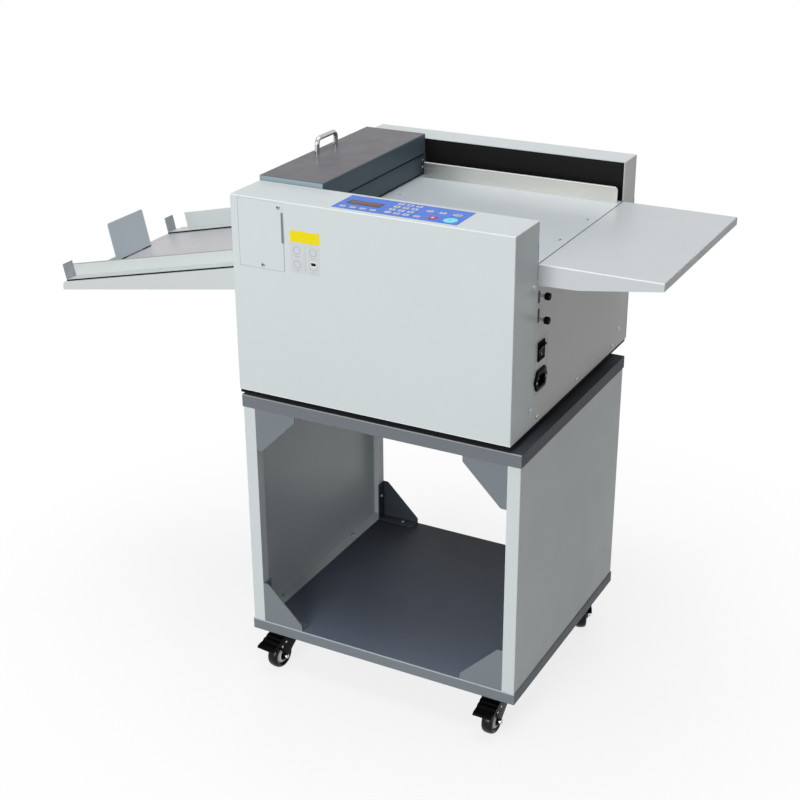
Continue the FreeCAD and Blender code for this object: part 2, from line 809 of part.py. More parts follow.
def base():
    inside_x = ("body_left + sheet", "body_right - sheet")
    inside_y = ("body_front + sheet", "body_back - sheet")
    z = ("tray_bottom", "body_bottom + tray_flange")
    outer = box("base_outer", inside_x, inside_y, z)
    hollow = box("base_hollow", ("body_left + 2*sheet", "body_right - 2*sheet"),
                 ("body_front + 2*sheet", "body_back - 2*sheet"), ("tray_bottom + sheet", z[1]))
    named(less("base_cut", outer, hollow), "base_tray")
    feet = [rod("machine_foot", "z", (x, y), ("stand_top", "tray_bottom"), "foot_radius")
            for x in ("body_left + foot_inset", "body_right - foot_inset")
            for y in ("body_front + foot_inset", "body_back - foot_inset")]
    named(group("feet_set", *feet), "machine_feet")


def side_frame(name, y):
    """A plate across the machine: low under the table, high in the head, bored for every shaft."""
    wide = box(name + "_low", ("frame_left", "frame_right"), y, ("frame_bottom", "table_top"))
    tall = box(name + "_high", ("frame_left", "head_right"), y, ("frame_bottom", "frame_top"))
    holes = [rod(f"{name}_bore_{number}", "y", (x, z), y, radius) for number, (x, z, radius) in enumerate((
        ("infeed_axis_x", "lower_axis", "bushing_radius"), ("infeed_axis_x", "upper_axis", "bushing_radius"),
        ("exit_axis_x", "lower_axis", "bushing_radius"), ("exit_axis_x", "upper_axis", "bushing_radius"),
        ("crease_centre", "cam_axis", "bushing_radius"), ("lid_pin_x", "lid_pin_z", "lid_pin_radius")), 1)]
    low, high = "beam_bottom + tongue_lift", "beam_bottom + tongue_lift + tongue_height"
    holes.append(box(name + "_beam_slot", about("crease_centre", "tongue_width + 2*shaft_fit"), y,
                     (f"{low} - crease_stroke - tongue_play", f"{high} + tongue_play")))
    return named(less(name + "_cut", union(name + "_plate", wide, tall), *holes), name)


def display_span():
    """Where the display's window lies in the panel."""
    x, y = "overlay_x + display_left", "overlay_y + display_front"
    return ((x, f"{x} + display_length"), (y, f"{y} + display_depth"))


def door_screws():
    """Where the door's two screws go: in its upper corner and in the middle of its lower edge."""
    return (("door_right - door_screw_inset", "door_top - door_screw_inset"),
            ("door_left + door_width/2 + door_screw_shift", "door_bottom + door_screw_rise"))


def front_cover():
    """The shell of the front tower: front, top, both ends and the inner wall above the table."""
    x, y = ("body_left", "body_right"), ("body_front", "throat_front")
    outer = box("front_cover_outer", x, y, ("body_bottom", "body_top"))
    inner_x = ("body_left + sheet", "body_right - sheet")
    hollow = box("front_cover_hollow", inner_x, ("body_front + sheet", "throat_front - sheet"),
                 ("body_bottom", "body_top - sheet"))
    below = box("front_cover_below", inner_x, ("throat_front - sheet", "throat_front"),
                ("body_bottom", "table_top"))
    head = box("front_cover_head", ("body_left + sheet", "head_right + lid_overhang"),
               ("throat_front - sheet", "throat_front"), ("body_bottom", "body_top - sheet"))
    shell = less("front_cover_shell", outer, hollow, below, head)
    soft = rounded("front_cover_round", shell, "cover_radius", lambda edge, around:
                   (runs_along(edge, "x") and near(edge.BoundBox.ZMax, around.ZMax)
                    and near(edge.BoundBox.YMin, around.YMin) and near(edge.BoundBox.YMax, around.YMin))
                   or (runs_along(edge, "z") and near(edge.BoundBox.YMax, around.YMin)
                       and (near(edge.BoundBox.XMin, around.XMin) or near(edge.BoundBox.XMax, around.XMax)))
                   or (runs_along(edge, "y") and near(edge.BoundBox.ZMin, around.ZMax)
                       and (near(edge.BoundBox.XMin, around.XMin) or near(edge.BoundBox.XMax, around.XMax))))
    door = box("door_opening", ("door_left - door_gap", "door_right + door_gap"),
               ("body_front", "body_front + sheet"), ("door_bottom - door_gap", "door_top + door_gap"))
    window = box("display_opening", *display_span(), ("body_top - sheet", "body_top"))
    cut = less("front_cover_cut", soft, door, window)
    behind = ("body_front + sheet", "body_front + 2*sheet")
    (_, side_z), (low_x, low_z) = door_screws()
    lug_side = box("door_lug_side", ("door_right - door_lug", "door_right + door_lug/2"), behind,
                   about(side_z, "door_lug"))
    lug_low = box("door_lug_low", about(low_x, "door_lug"), behind,
                  ("door_bottom - door_lug/2", f"{low_z} + door_lug/2"))
    named(union("front_cover_lugs", cut, lug_side, lug_low), "front_cover")


def access_door():
    y = ("body_front", "body_front + sheet")
    door = box("door_plate", ("door_left", "door_right"), y, ("door_bottom", "door_top"))
    slot = box("door_finger_slot", ("door_right - door_slot_width", "door_right"), y,
               ("door_top - door_slot_drop - door_slot_length", "door_top - door_slot_drop"))
    named(less("door_cut", door, slot), "access_door")


def rear_cover():
    """Back sheet, tower top and inner wall in one fold."""
    x = ("body_left + sheet", "body_right - sheet")
    back = box("rear_cover_back", x, ("body_back - sheet", "body_back"), ("body_bottom", "body_top"))
    top = box("rear_cover_top", x, ("throat_back", "body_back"), ("body_top - sheet", "body_top"))
    wall = box("rear_cover_wall", ("head_right + lid_overhang", x[1]), ("throat_back", "throat_back + sheet"),
               ("table_top", "body_top"))
    fold = union("rear_cover_fold", back, top, wall)
    soft = rounded("rear_cover_soft", fold, "cover_radius", lambda edge, around:
                   runs_along(edge, "x") and near(edge.BoundBox.ZMin, around.ZMax)
                   and near(edge.BoundBox.YMin, around.YMax))
    vents = []
    for edge, sign in (("body_left + vent_inset", 1), ("body_right - vent_inset", -1)):
        for number in range(int(size("vent_count"))):
            vents.append(box("vent_slot", about(f"{edge} + {sign*number}*vent_pitch", "vent_length"),
                             ("body_back - sheet", "body_back"),
                             ("body_bottom + vent_low", "body_bottom + vent_low + vent_height")))
    named(less("rear_cover_cut", soft, *vents), "rear_cover")


def end_sheet(name, x, height):
    """One end of the machine with the ear that closes the rear tower."""
    low = box(name + "_low", x, ("throat_front + seam", "body_back"), ("body_bottom", height))
    ear = box(name + "_ear", x, ("throat_back", "body_back"), ("body_bottom", "body_top"))
    return union(name + "_sheet", low, ear)


def infeed_end_panel():
    x = ("body_right - sheet", "body_right")
    plain = end_sheet("infeed_end", x, "table_top - table_sheet")
    soft = rounded("infeed_end_round", plain, "cover_radius", lambda edge, around:
                   near(edge.BoundBox.XMin, around.XMax)
                   and ((runs_along(edge, "z") and near(edge.BoundBox.YMin, around.YMax))
                        or (runs_along(edge, "y") and near(edge.BoundBox.ZMin, around.ZMax))))
    slots = [box(f"{name}_slot", x, about("throat_front + knob_slot_y", "knob_slot_width"),
                 about(f"body_bottom + {name}_slot_z", f"{name}_slot_length"))
             for name in ("upper", "lower")]
    switch = box("switch_opening", x, about("throat_front + switch_y", "switch_width - switch_rim"),
                 about("body_bottom + switch_z", "switch_height - switch_rim"))
    inlet = box("inlet_opening", x, about("throat_front + inlet_y", "socket_width + 2*socket_wall"),
                about("body_bottom + inlet_z", "socket_height + 2*socket_wall"))
    named(less("infeed_end_cut", soft, *slots, switch, inlet), "infeed_end_panel")


def hook_span(side):
    """Where a hook of the exit tray passes through the exit end, seen across the paper path."""
    edge = "throat_front + tray_hook_inset"
    if side > 0:
        edge = "throat_back - tray_hook_inset - tray_hook_width"
    return (edge, f"{edge} + tray_hook_width")


def exit_end_panel():
    x = ("body_left", "body_left + sheet")
    plain = end_sheet("exit_end", x, "lid_bottom - lid_rest_gap")
    soft = rounded("exit_end_round", plain, "cover_radius", lambda edge, around:
                   near(edge.BoundBox.XMax, around.XMin)
                   and ((runs_along(edge, "z") and near(edge.BoundBox.YMin, around.YMax))
                        or (runs_along(edge, "y") and near(edge.BoundBox.ZMin, around.ZMax))))
    mouth = box("paper_exit", x, ("throat_front + exit_mouth_inset", "throat_back - exit_mouth_inset"),
                ("table_top - exit_mouth_half", "table_top + exit_mouth_half"))
    low = "deck_z - tray_hook_drop"
    hooks = [box(f"hook_opening_{number}", x,
                 (f"{hook_span(side)[0]} - seat_gap", f"{hook_span(side)[1]} + seat_gap"),
                 (low, f"{low} + tray_hook_lip + tray_sheet + seat_gap"))
             for number, side in ((1, -1), (2, 1))]
    named(less("exit_end_cut", soft, mouth, *hooks), "exit_end_panel")


def tables():
    y = ("throat_front", "throat_back")
    top = box("table_sheet_top", ("frame_left", "body_right"), y, ("table_top - table_sheet", "table_top"))
    skirts = [box(f"table_skirt_{number}", ("head_right", "frame_right"), span,
                  ("table_top - table_skirt", "table_top"))
              for number, span in ((1, ("throat_front", "throat_front + sheet")),
                                   (2, ("throat_back - sheet", "throat_back")))]
    inner = ("throat_front + beam_end_gap", "throat_back - beam_end_gap")
    depth = ("table_top - table_sheet", "table_top")
    slots = (("infeed_axis_x", "roller_slot"), ("exit_axis_x", "roller_slot"),
             ("crease_centre", "die_width + 2*die_gap"))
    cuts = [box(f"table_slot_{number}", about(x, width), inner, depth)
            for number, (x, width) in enumerate(slots, 1)]
    cuts += [box(f"table_hook_{number}", about("body_right - hook_slot_inset", "hook_slot_width"),
                 about(f"throat_middle + {sign}*hook_slot_pitch/2", "hook_slot_length"), depth)
             for number, sign in ((1, -1), (2, 1))]
    named(less("table_cut", union("table_folded", top, *skirts), *cuts), "feed_table")

    extension = body("extension_body")
    low = "0 - extension_skirt"
    kink = "0 - extension_skirt + extension_skirt_slope"
    tip = "0 - extension_lip"
    pad(extension, "XZ_Plane", ((0, 0), ("extension_length", 0), ("extension_length", tip),
                                ("extension_kink", kink), (0, low)), "throat_width", symmetric=True)
    wall = "tray_sheet"
    pocket(extension, "XZ_Plane",
           ((wall, f"0 - {wall}"), (f"extension_length - {wall}", f"0 - {wall}"),
            (f"extension_length - {wall}", "0 - extension_skirt - 1"), (wall, "0 - extension_skirt - 1")),
           f"throat_width - 2*{wall}")
    place(extension, "body_right", "throat_middle", "table_top")
    soft = rounded("extension_round", extension, "cover_radius", lambda edge, around:
                   near(edge.BoundBox.ZMin, around.ZMax)
                   and ((runs_along(edge, "y") and near(edge.BoundBox.XMin, around.XMax))
                        or (runs_along(edge, "x") and (near(edge.BoundBox.YMin, around.YMax)
                                                       or near(edge.BoundBox.YMax, around.YMin)))))
    named(soft, "extension_table")


def fence():
    front = "throat_back - fence_gap - fence_sheet"
    x = ("head_right + fence_start", "body_right - fence_end")
    strip = box("fence_strip", x, (front, f"{front} + fence_sheet"),
                ("table_top", "table_top + fence_height"))
    foot = box("fence_foot", x, (front, f"{front} + fence_foot"), ("table_top", "table_top + fence_sheet"))
    whole = union("fence_fold", strip, foot)
    named(rounded("fence_round", whole, "fence_corner", lambda edge, around:
                  runs_along(edge, "y") and near(edge.BoundBox.ZMin, around.ZMax)
                  and near(edge.BoundBox.XMin, around.XMax)), "side_fence")
    named(box("liner", ("head_right + lid_overhang", "body_right - sheet"),
              ("throat_back - liner_sheet", "throat_back"), ("table_top", "body_top - liner_sheet")),
          "rear_inner_panel")


def cover_screws():
    """Pan heads on the covers: on the door, on both ends, on the back and on the head panel."""
    heads = []
    for spot in door_screws():
        heads.append(rod("door_screw", "y", spot, ("body_front - cover_screw_head", "body_front"),
                         "cover_screw_radius"))
    tower_y = "throat_front - tower_screw_inset"
    ear_y = "body_back - ear_screw_inset"
    spots = [(tower_y, "tower_screw_high"), (tower_y, "tower_screw_low"), (ear_y, "tower_screw_low"),
             ("throat_front + end_screw_inset", "end_screw_height"),
             ("throat_middle", "end_screw_height"), ("throat_back - end_screw_inset", "end_screw_height")]
    for y, z in spots:
        for span in (("body_right", "body_right + cover_screw_head"),
                     ("body_left - cover_screw_head", "body_left")):
            heads.append(rod("end_screw", "x", (y, f"body_bottom + {z}"), span, "cover_screw_radius"))
    for x in ("body_left + back_screw_inset", "body_left + body_width/2", "body_right - back_screw_inset"):
        for z in ("body_bottom + back_screw_inset", "body_top - back_screw_inset"):
            heads.append(rod("back_screw", "y", (x, z), ("body_back", "body_back + cover_screw_head"),
                             "cover_screw_radius"))
    face = "head_right - head_panel_setback"
    for z in ("head_screw_low", "head_screw_high"):
        heads.append(rod("head_screw", "x", ("throat_back - head_screw_inset", f"table_top + {z}"),
                         (face, f"{face} + cover_screw_head"), "head_screw_radius"))
    named(group("cover_screw_set", *heads), "cover_screws")


# ---------------------------------------------------------------- head and lid

def head():
    face = "head_right - head_panel_setback"
    y = ("throat_front", "throat_back")
    z_top = "lid_bottom - lid_slit"
    wall = box("head_panel_wall", (f"{face} - head_panel_sheet", face), y, ("table_top + paper_gap", z_top))
    flange = box("head_panel_flange_top", (f"{face} - head_panel_flange", face), y,
                 (f"{z_top} - head_panel_sheet", z_top))
    named(union("head_panel_fold", wall, flange), "head_infeed_panel")

    x = ("body_left - lid_overhang", "head_right + lid_overhang")
    y = ("throat_front + lid_end_gap", "throat_back - lid_end_gap")
    outer = box("lid_outer", x, y, ("lid_bottom", "lid_top"))
    soft = rounded("lid_round", outer, "lid_radius", lambda edge, around:
                   near(edge.BoundBox.ZMin, around.ZMax) or runs_along(edge, "z"))
    hollow = box("lid_hollow", (f"{x[0]} + sheet", f"{x[1]} - sheet"), (f"{y[0]} + sheet", f"{y[1]} - sheet"),
                 ("lid_bottom", "lid_top - sheet"))
    relief = box("lid_end_relief", (f"{x[0]} + sheet", f"{x[1]} - lid_ear"), y,
                 ("lid_bottom", "lid_bottom + lid_ear_drop"))
    pins = rod("lid_pin_bores", "y", ("lid_pin_x", "lid_pin_z"), y, "lid_pin_radius + shaft_fit")
    named(less("lid_cut", soft, hollow, relief, pins), "head_cover")

    spans = (("throat_front - frame_plate", "throat_front + lid_end_gap + sheet + lid_end_gap"),
             ("throat_back - lid_end_gap - sheet - lid_end_gap", "throat_back + frame_plate"))
    named(group("lid_pin_set", *[rod("lid_pin", "y", ("lid_pin_x", "lid_pin_z"), span, "lid_pin_radius")
                                 for span in spans]), "lid_hinge_pins")
    handle()


def handle():
    """A bow of round bar: two legs, a grip and a quarter bend at each corner."""
    x = "body_left + handle_inset"
    middle = "throat_middle + handle_shift"
    grip_z = "lid_top + handle_rise"
    parts = [rod("handle_grip", "y", (x, grip_z), about(middle, "handle_span - 2*handle_bend"),
                 "handle_bar_radius")]
    upright = Rotation(Vector(1, 1, 1), 120)
    for number, sign, turn in ((1, -1, 90), (2, 1, 0)):
        leg_y = f"{middle} + {sign}*handle_span/2"
        parts.append(rod(f"handle_leg_{number}", "z", (x, leg_y), ("lid_top", f"{grip_z} - handle_bend"),
                         "handle_bar_radius"))
        bend = doc.addObject("Part::Torus", f"handle_bend_{number}")
        bend.Placement = Placement(Vector(), upright.multiply(Rotation(Vector(0, 0, 1), turn)))
        bind(bend, "Radius1", "handle_bend")
        bind(bend, "Radius2", "handle_bar_radius")
        bend.Angle3 = 90
        parts.append(place(bend, x, f"{leg_y} - {sign}*handle_bend", f"{grip_z} - handle_bend"))
    named(union("handle_bow", *parts), "lid_handle")


# ---------------------------------------------------------------- controls

def controls():
    top = "body_top"
    x0, y0 = "overlay_x", "overlay_y"
    key_z = (f"{top} + overlay_sheet", f"{top} + overlay_sheet + key_rise")

    def key(name, x, y, length, depth):
        return box(name, about(f"{x0} + {x}", length), about(f"{y0} + {y}", depth), key_z)

    def round_key(name, x, radius):
        return rod(name, "z", (f"{x0} + {x}", f"{y0} + run_key_y"), key_z, radius)

    film = box("overlay_film", (x0, f"{x0} + overlay_length"), (y0, f"{y0} + overlay_depth"),
               (top, f"{top} + overlay_sheet"))
    window = box("overlay_window", *display_span(), (top, f"{top} + overlay_sheet"))
    keys = [key("menu_key", f"menu_key_x + {column}*menu_key_pitch", "menu_key_y", "menu_key_length",
                "menu_key_depth") for column in range(4)]
    keys += [key("number_key", f"number_key_x + {column}*number_key_pitch_x",
                 f"number_key_y + {row}*number_key_pitch_y", "number_key_length", "number_key_depth")
             for column in range(3) for row in range(4)]
    keys.append(key("clear_key", "clear_key_x", "number_key_y", "number_key_length", "number_key_depth"))
    keys += [key("set_key", f"set_key_{side}_x", "set_key_y", "set_key_length", "set_key_depth")
             for side in ("left", "right")]
    keys.append(key("mode_key", "mode_key_x", "set_key_y", "mode_key_length", "mode_key_depth"))
    keys.append(round_key("stop_key", "stop_key_x", "stop_key_radius"))
    keys.append(round_key("start_key", "start_key_x", "start_key_radius"))
    named(less("overlay_cut", union("overlay_embossed", film, *keys), window), "control_overlay")

    named(box("display_block", *display_span(), (f"{top} - display_body", f"{top} + overlay_sheet")),
          "display_window")

    middle_x, middle_y = f"{x0} + overlay_length/2", f"{y0} + overlay_depth/2"
    board_z = (f"{top} - sheet - board_drop - board_sheet", f"{top} - sheet - board_drop")
    board = box("board_plate", about(middle_x, "board_length"), about(middle_y, "board_depth"), board_z)
    posts = [rod("board_post", "z", (f"{middle_x} + {a}*(board_length/2 - board_post_inset)",
                                     f"{middle_y} + {b}*(board_depth/2 - board_post_inset)"),
                 (board_z[1], f"{top} - sheet"), "board_post_radius")
             for a in (-1, 1) for b in (-1, 1)]
    chip = box("board_chip", about(middle_x, "board_chip"), about(middle_y, "board_chip"),
               (f"{board_z[0]} - 2*board_sheet", board_z[0]))
    named(union("board_set", board, chip, *posts), "control_board")


def clamp_knob(name):
    """A knob on a stem that slides in its slot, held by a washer behind the sheet."""
    y, z = "throat_front + knob_slot_y", f"body_bottom + {name}_slot_z + {name}_knob_shift"
    start = "body_right + knob_reach"
    grip = rod(f"{name}_knob_grip", "x", (y, z), (start, f"{start} + knob_length"), "knob_radius")
    soft = rounded(f"{name}_knob_soft", grip, "knob_round", lambda edge, around:
                   near(edge.BoundBox.XLength, 0))
    stem = rod(f"{name}_knob_stem", "x", (y, z), ("body_right - sheet - seat_gap", f"{start} + 1"),
               "knob_stem_radius")
    washer = rod(f"{name}_knob_washer", "x", (y, z),
                 ("body_right - sheet - seat_gap - knob_washer", "body_right - sheet - seat_gap"),
                 "knob_washer_radius")
    named(union(f"{name}_knob_set", soft, stem, washer), f"{name}_clamp_knob")


def rocker_switch():
    y = about("throat_front + switch_y", "switch_width")
    z = about("body_bottom + switch_z", "switch_height")
    rim = "switch_rim"
    bezel = box("switch_bezel_block", ("body_right", "body_right + switch_bezel"), y, z)
    inside_y = (f"{y[0]} + {rim}/2", f"{y[1]} - {rim}/2")
    inside_z = (f"{z[0]} + {rim}/2", f"{z[1]} - {rim}/2")
    shell = box("switch_shell", ("body_right - switch_depth", "body_right"), inside_y, inside_z)
    well = box("switch_well", ("body_right - switch_depth + switch_wall", "body_right + switch_bezel"),
               (f"{y[0]} + {rim}", f"{y[1]} - {rim}"), (f"{z[0]} + {rim}", f"{z[1]} - {rim}"))
    axis = ("body_right", "body_bottom + switch_z")
    pin = rod("switch_pin", "y", axis, (f"{y[0]} + {rim}/2", f"{y[1]} - {rim}/2"), "rocker_pin_radius")
    hollow = less("switch_cut", union("switch_solid", bezel, shell), well)
    named(union("switch_set", hollow, pin), "switch_housing")

    lever = body("rocker_body")
    half = "switch_height/2 - switch_rim - rocker_gap - rocker_swing"
    rise = "switch_bezel + rocker_rise"
    points = ((f"0 - ({half})", "switch_bezel"), ("0", "switch_bezel - rocker_dip"), (half, "switch_bezel"),
              (half, "0"), (f"({half})*0.45", f"0 - {rise}"), (f"0 - ({half})*0.45", f"0 - {rise}"),
              (f"0 - ({half})", "0"))
    pad(lever, "XZ_Plane", [(depth, height) for height, depth in points],
        "switch_width - 2*switch_rim - 2*rocker_gap", symmetric=True)
    tilted = group("rocker_tilted", lever)
    tilted.Placement = Placement(Vector(), Rotation(Vector(0, 1, 0), 5))
    bind(tilted, "Placement.Rotation.Angle", "rocker_tilt")
    place(tilted, "body_right", "throat_front + switch_y", "body_bottom + switch_z")
    bore = rod("rocker_bore", "y", axis, (y[0], y[1]), "rocker_pin_radius + shaft_fit")
    named(less("rocker_cut", tilted, bore), "switch_rocker")


def power_inlet():
    """An appliance inlet: a six-sided flange, a socket with two cut corners and three contact blades."""
    inlet = body("inlet_body")
    wide, flat, tall = "inlet_width/2", "inlet_flat/2", "inlet_height/2"
    flange = ((f"0 - {flat}", tall), (f"0 - {wide}", "0"), (f"0 - {flat}", f"0 - {tall}"),
              (flat, f"0 - {tall}"), (wide, "0"), (flat, tall))
    pad(inlet, "YZ_Plane", flange, "inlet_flange")
    shell_y, shell_z = "socket_width/2 + socket_wall", "socket_height/2 + socket_wall"
    shell = ((f"0 - ({shell_y})", shell_z), (f"0 - ({shell_y})", f"0 - ({shell_z})"),
             (shell_y, f"0 - ({shell_z})"), (shell_y, shell_z))
    pad(inlet, "YZ_Plane", shell, "inlet_depth", reversed_side=True)
    place(inlet, "body_right", "throat_front + inlet_y", "body_bottom + inlet_z")

    cavity = body("socket_cavity")
    w, t, c = "socket_width/2", "socket_height/2", "socket_chamfer"
    mouth = ((f"0 - {w}", f"0 - {t}"), (w, f"0 - {t}"), (w, f"{t} - {c}"), (f"{w} - {c}", t),
             (f"0 - {w} + {c}", t), (f"0 - {w}", f"{t} - {c}"))
    pad(cavity, "YZ_Plane", mouth, "socket_depth + inlet_flange")
    place(cavity, "body_right - socket_depth", "throat_front + inlet_y", "body_bottom + inlet_z")
    hollow = less("inlet_hollow", inlet, cavity)
    blades = [box(f"contact_{number}",
                  ("body_right - socket_depth", "body_right - socket_depth + contact_length"),
                  about(f"throat_front + inlet_y + {side}*contact_pitch", "contact_width"),
                  about(f"body_bottom + inlet_z + {level}*contact_offset", "contact_height"))
              for number, (side, level) in enumerate(((-1, -1), (0, 1), (1, -1)), 1)]
    named(union("inlet_set", hollow, *blades), "power_inlet")


# ---------------------------------------------------------------- exit tray

def exit_tray():
    """A sloping deck on two tapering sides with a rolled outer end, hooked into the exit end."""
    fall, run = "deck_fall", "deck_run"
    end_x = f"0 - {run} - tray_lip"
    tray = body("tray_body")
    pad(tray, "XZ_Plane", ((0, 0), (0, "0 - tray_side"), (end_x, f"0 - {fall} - tray_side_end"),
                           (end_x, f"0 - {fall} - tray_lip*tan(tray_slope)")), "throat_width", symmetric=True)
    place(tray, "deck_x", "throat_middle", "deck_z")
    soft = rounded("tray_round", tray, "tray_lip_radius", lambda edge, around:
                   runs_along(edge, "y") and near(edge.BoundBox.XMin, around.XMin)
                   and edge.BoundBox.ZMin > around.ZMin + 1)
    wall = "tray_sheet"
    cave = body("tray_cave")
    slant = f"{wall}/cos(tray_slope)"
    far = f"{end_x} + {wall}"
    roof = f"0 - {fall} - (tray_lip - {wall})*tan(tray_slope) - {slant}"
    corner = "tray_lip_radius*0.75"
    pad(cave, "XZ_Plane", ((f"0 - {wall}", f"0 - {slant} - {wall}*tan(tray_slope)"),
                           (f"0 - {wall}", "0 - 2*tray_side"), (far, f"0 - {fall} - 2*tray_side_end"),
                           (far, f"{roof} - {corner}"), (f"{far} + {corner}", roof)),
        f"throat_width - 2*{wall}", symmetric=True)
    place(cave, "deck_x", "throat_middle", "deck_z")
    hollow = less("tray_hollow", soft, cave)
    hooks = []
    for number, side in ((1, -1), (2, 1)):
        span = hook_span(side)
        arm = box(f"tray_hook_arm_{number}", ("deck_x - sheet", "body_left + tray_hook_length"), span,
                  ("deck_z - tray_hook_drop", "deck_z - tray_hook_drop + tray_sheet"))
        lip = box(f"tray_hook_lip_{number}",
                  ("body_left + sheet + seat_gap", "body_left + 2*sheet + seat_gap"), span,
                  ("deck_z - tray_hook_drop - tray_hook_lip", "deck_z - tray_hook_drop + tray_sheet"))
        hooks += [arm, lip]
    named(union("tray_set", hollow, *hooks), "exit_tray")


def on_deck(item):
    """Turn a piece that is laid out along the deck into its slope and set it on the deck's upper end."""
    item.Placement = Placement(Vector(), Rotation(Vector(0, 1, 0), -10))
    bind(item, "Placement.Rotation.Angle", "0 - tray_slope")
    return place(item, "deck_x", "throat_front", "deck_z")


def exit_guide(name, y0, wall_height, wall_start):
    """A folded guide: a foot on a magnet strip, a wall along its back and a tab across its outer end."""
    x = ("0 - tray_length", "0 - guide_start")
    low = "foot_run"
    foot = box(name + "_foot", x, (y0, f"{y0} + guide_foot"), (low, f"{low} + guide_sheet"))
    wall = box(name + "_wall", (f"{x[0]} + {wall_start}", x[1]),
               (f"{y0} + guide_foot - guide_sheet", f"{y0} + guide_foot"), (low, wall_height))
    tab = box(name + "_tab", (x[0], f"{x[0]} + guide_sheet"), (y0, f"{y0} + guide_foot"), (low, "guide_tab"))
    strips = [box(f"{name}_strip_{number}", x, (y, f"{y} + strip_width"), ("seat_gap", low))
              for number, y in ((1, y0), (2, f"{y0} + guide_foot - strip_width"))]
    return named(on_deck(union(name + "_fold", foot, wall, tab, *strips)), name)


def exit_stop():
    """The stop plate across the tray: it stands square to the deck on a foot with two magnets."""
    low = "foot_run"
    face = "stop_inset - tray_length"
    y = ("stop_y", "stop_y + stop_width")
    plate = box("stop_plate", (f"{face} - guide_sheet", face), y, (low, "stop_height"))
    soft = rounded("stop_soft", plate, "stop_corner", lambda edge, around:
                   runs_along(edge, "x") and near(edge.BoundBox.ZMin, around.ZMax))
    foot = box("stop_foot_plate", (f"{face} - stop_foot", face), y, (low, f"{low} + guide_sheet"))
    ends = ((y[0], f"{y[0]} + stop_magnet"), (f"{y[1]} - stop_magnet", y[1]))
    magnets = [box("stop_magnet_strip", (f"{face} - stop_foot", face), span, ("seat_gap", low))
               for span in ends]
    named(on_deck(union("stop_set", soft, foot, *magnets)), "exit_stop")


# ---------------------------------------------------------------- mechanism

PITCH_RADIUS = "roller_radius"


def gear(name, x, z, turn):
    """A spur gear in front of the front frame. The turn is where its first tooth points, from +X."""
    wheel = body(name + "_gear")
    root = f"{PITCH_RADIUS} - 1.25*gear_module"
    sides = 24
    points = [(f"({root})*cos({number*360/sides})", f"({root})*sin({number*360/sides})")
              for number in range(sides)]
    pad(wheel, "XZ_Plane", points, "gear_width", symmetric=True)
    flank = ((f"({root})*0.8", 0.95), (PITCH_RADIUS, 0.7), (f"{PITCH_RADIUS} + 0.85*gear_module", 0.36))
    lower = [(reach, f"0 - {half}*gear_module") for reach, half in flank]
    upper = [(reach, f"{half}*gear_module") for reach, half in reversed(flank)]
    tooth = pad(wheel, "XZ_Plane", lower + upper, "gear_width", symmetric=True)
    doc.recompute()
    teeth = wheel.newObject("PartDesign::PolarPattern", name + "_teeth")
    teeth.Originals = [tooth]
    teeth.Axis = (tooth.Profile[0], ["N_Axis"])
    teeth.Angle = 360
    bind(teeth, "Occurrences", "gear_teeth")
    wheel.Tip = teeth
    wheel.Placement = Placement(Vector(), Rotation(Vector(0, -1, 0), 10))
    bind(wheel, "Placement.Rotation.Angle", turn)
    return place(wheel, x, "throat_front - frame_plate - gear_gap - gear_width/2", z)


def pulley(name, x, z):
    """A flanged belt pulley in front of the gear."""
    back = "throat_front - frame_plate - 2*gear_gap - gear_width"
    front = f"{back} - pulley_width"
    barrel = rod(name + "_barrel", "y", (x, z), (front, back), "pulley_radius")
    ends = ((front, f"{front} + pulley_flange"), (f"{back} - pulley_flange", back))
    rims = [rod(name + "_rim", "y", (x, z), span, "pulley_radius + pulley_flange_rise") for span in ends]
    return [barrel, *rims]


def roller(name, x, z, front_end, turn, driven):
    """A shaft with three rubber sleeves, its gear, and on the lower ones the belt pulley."""
    shaft = rod(name + "_shaft", "y", (x, z), (front_end, "throat_back + frame_plate + shaft_end"),
                "roller_shaft_radius")
    starts = ("throat_front + roller_sleeve_inset", "throat_middle - roller_sleeve/2",
              "throat_back - roller_sleeve_inset - roller_sleeve")
    sleeves = [rod(name + "_sleeve", "y", (x, z), (start, f"{start} + roller_sleeve"), "roller_radius")
               for start in starts]
    extra = pulley(name + "_pulley", x, z) if driven else []
    named(union(name + "_set", shaft, *sleeves, gear(name, x, z, turn), *extra), name)


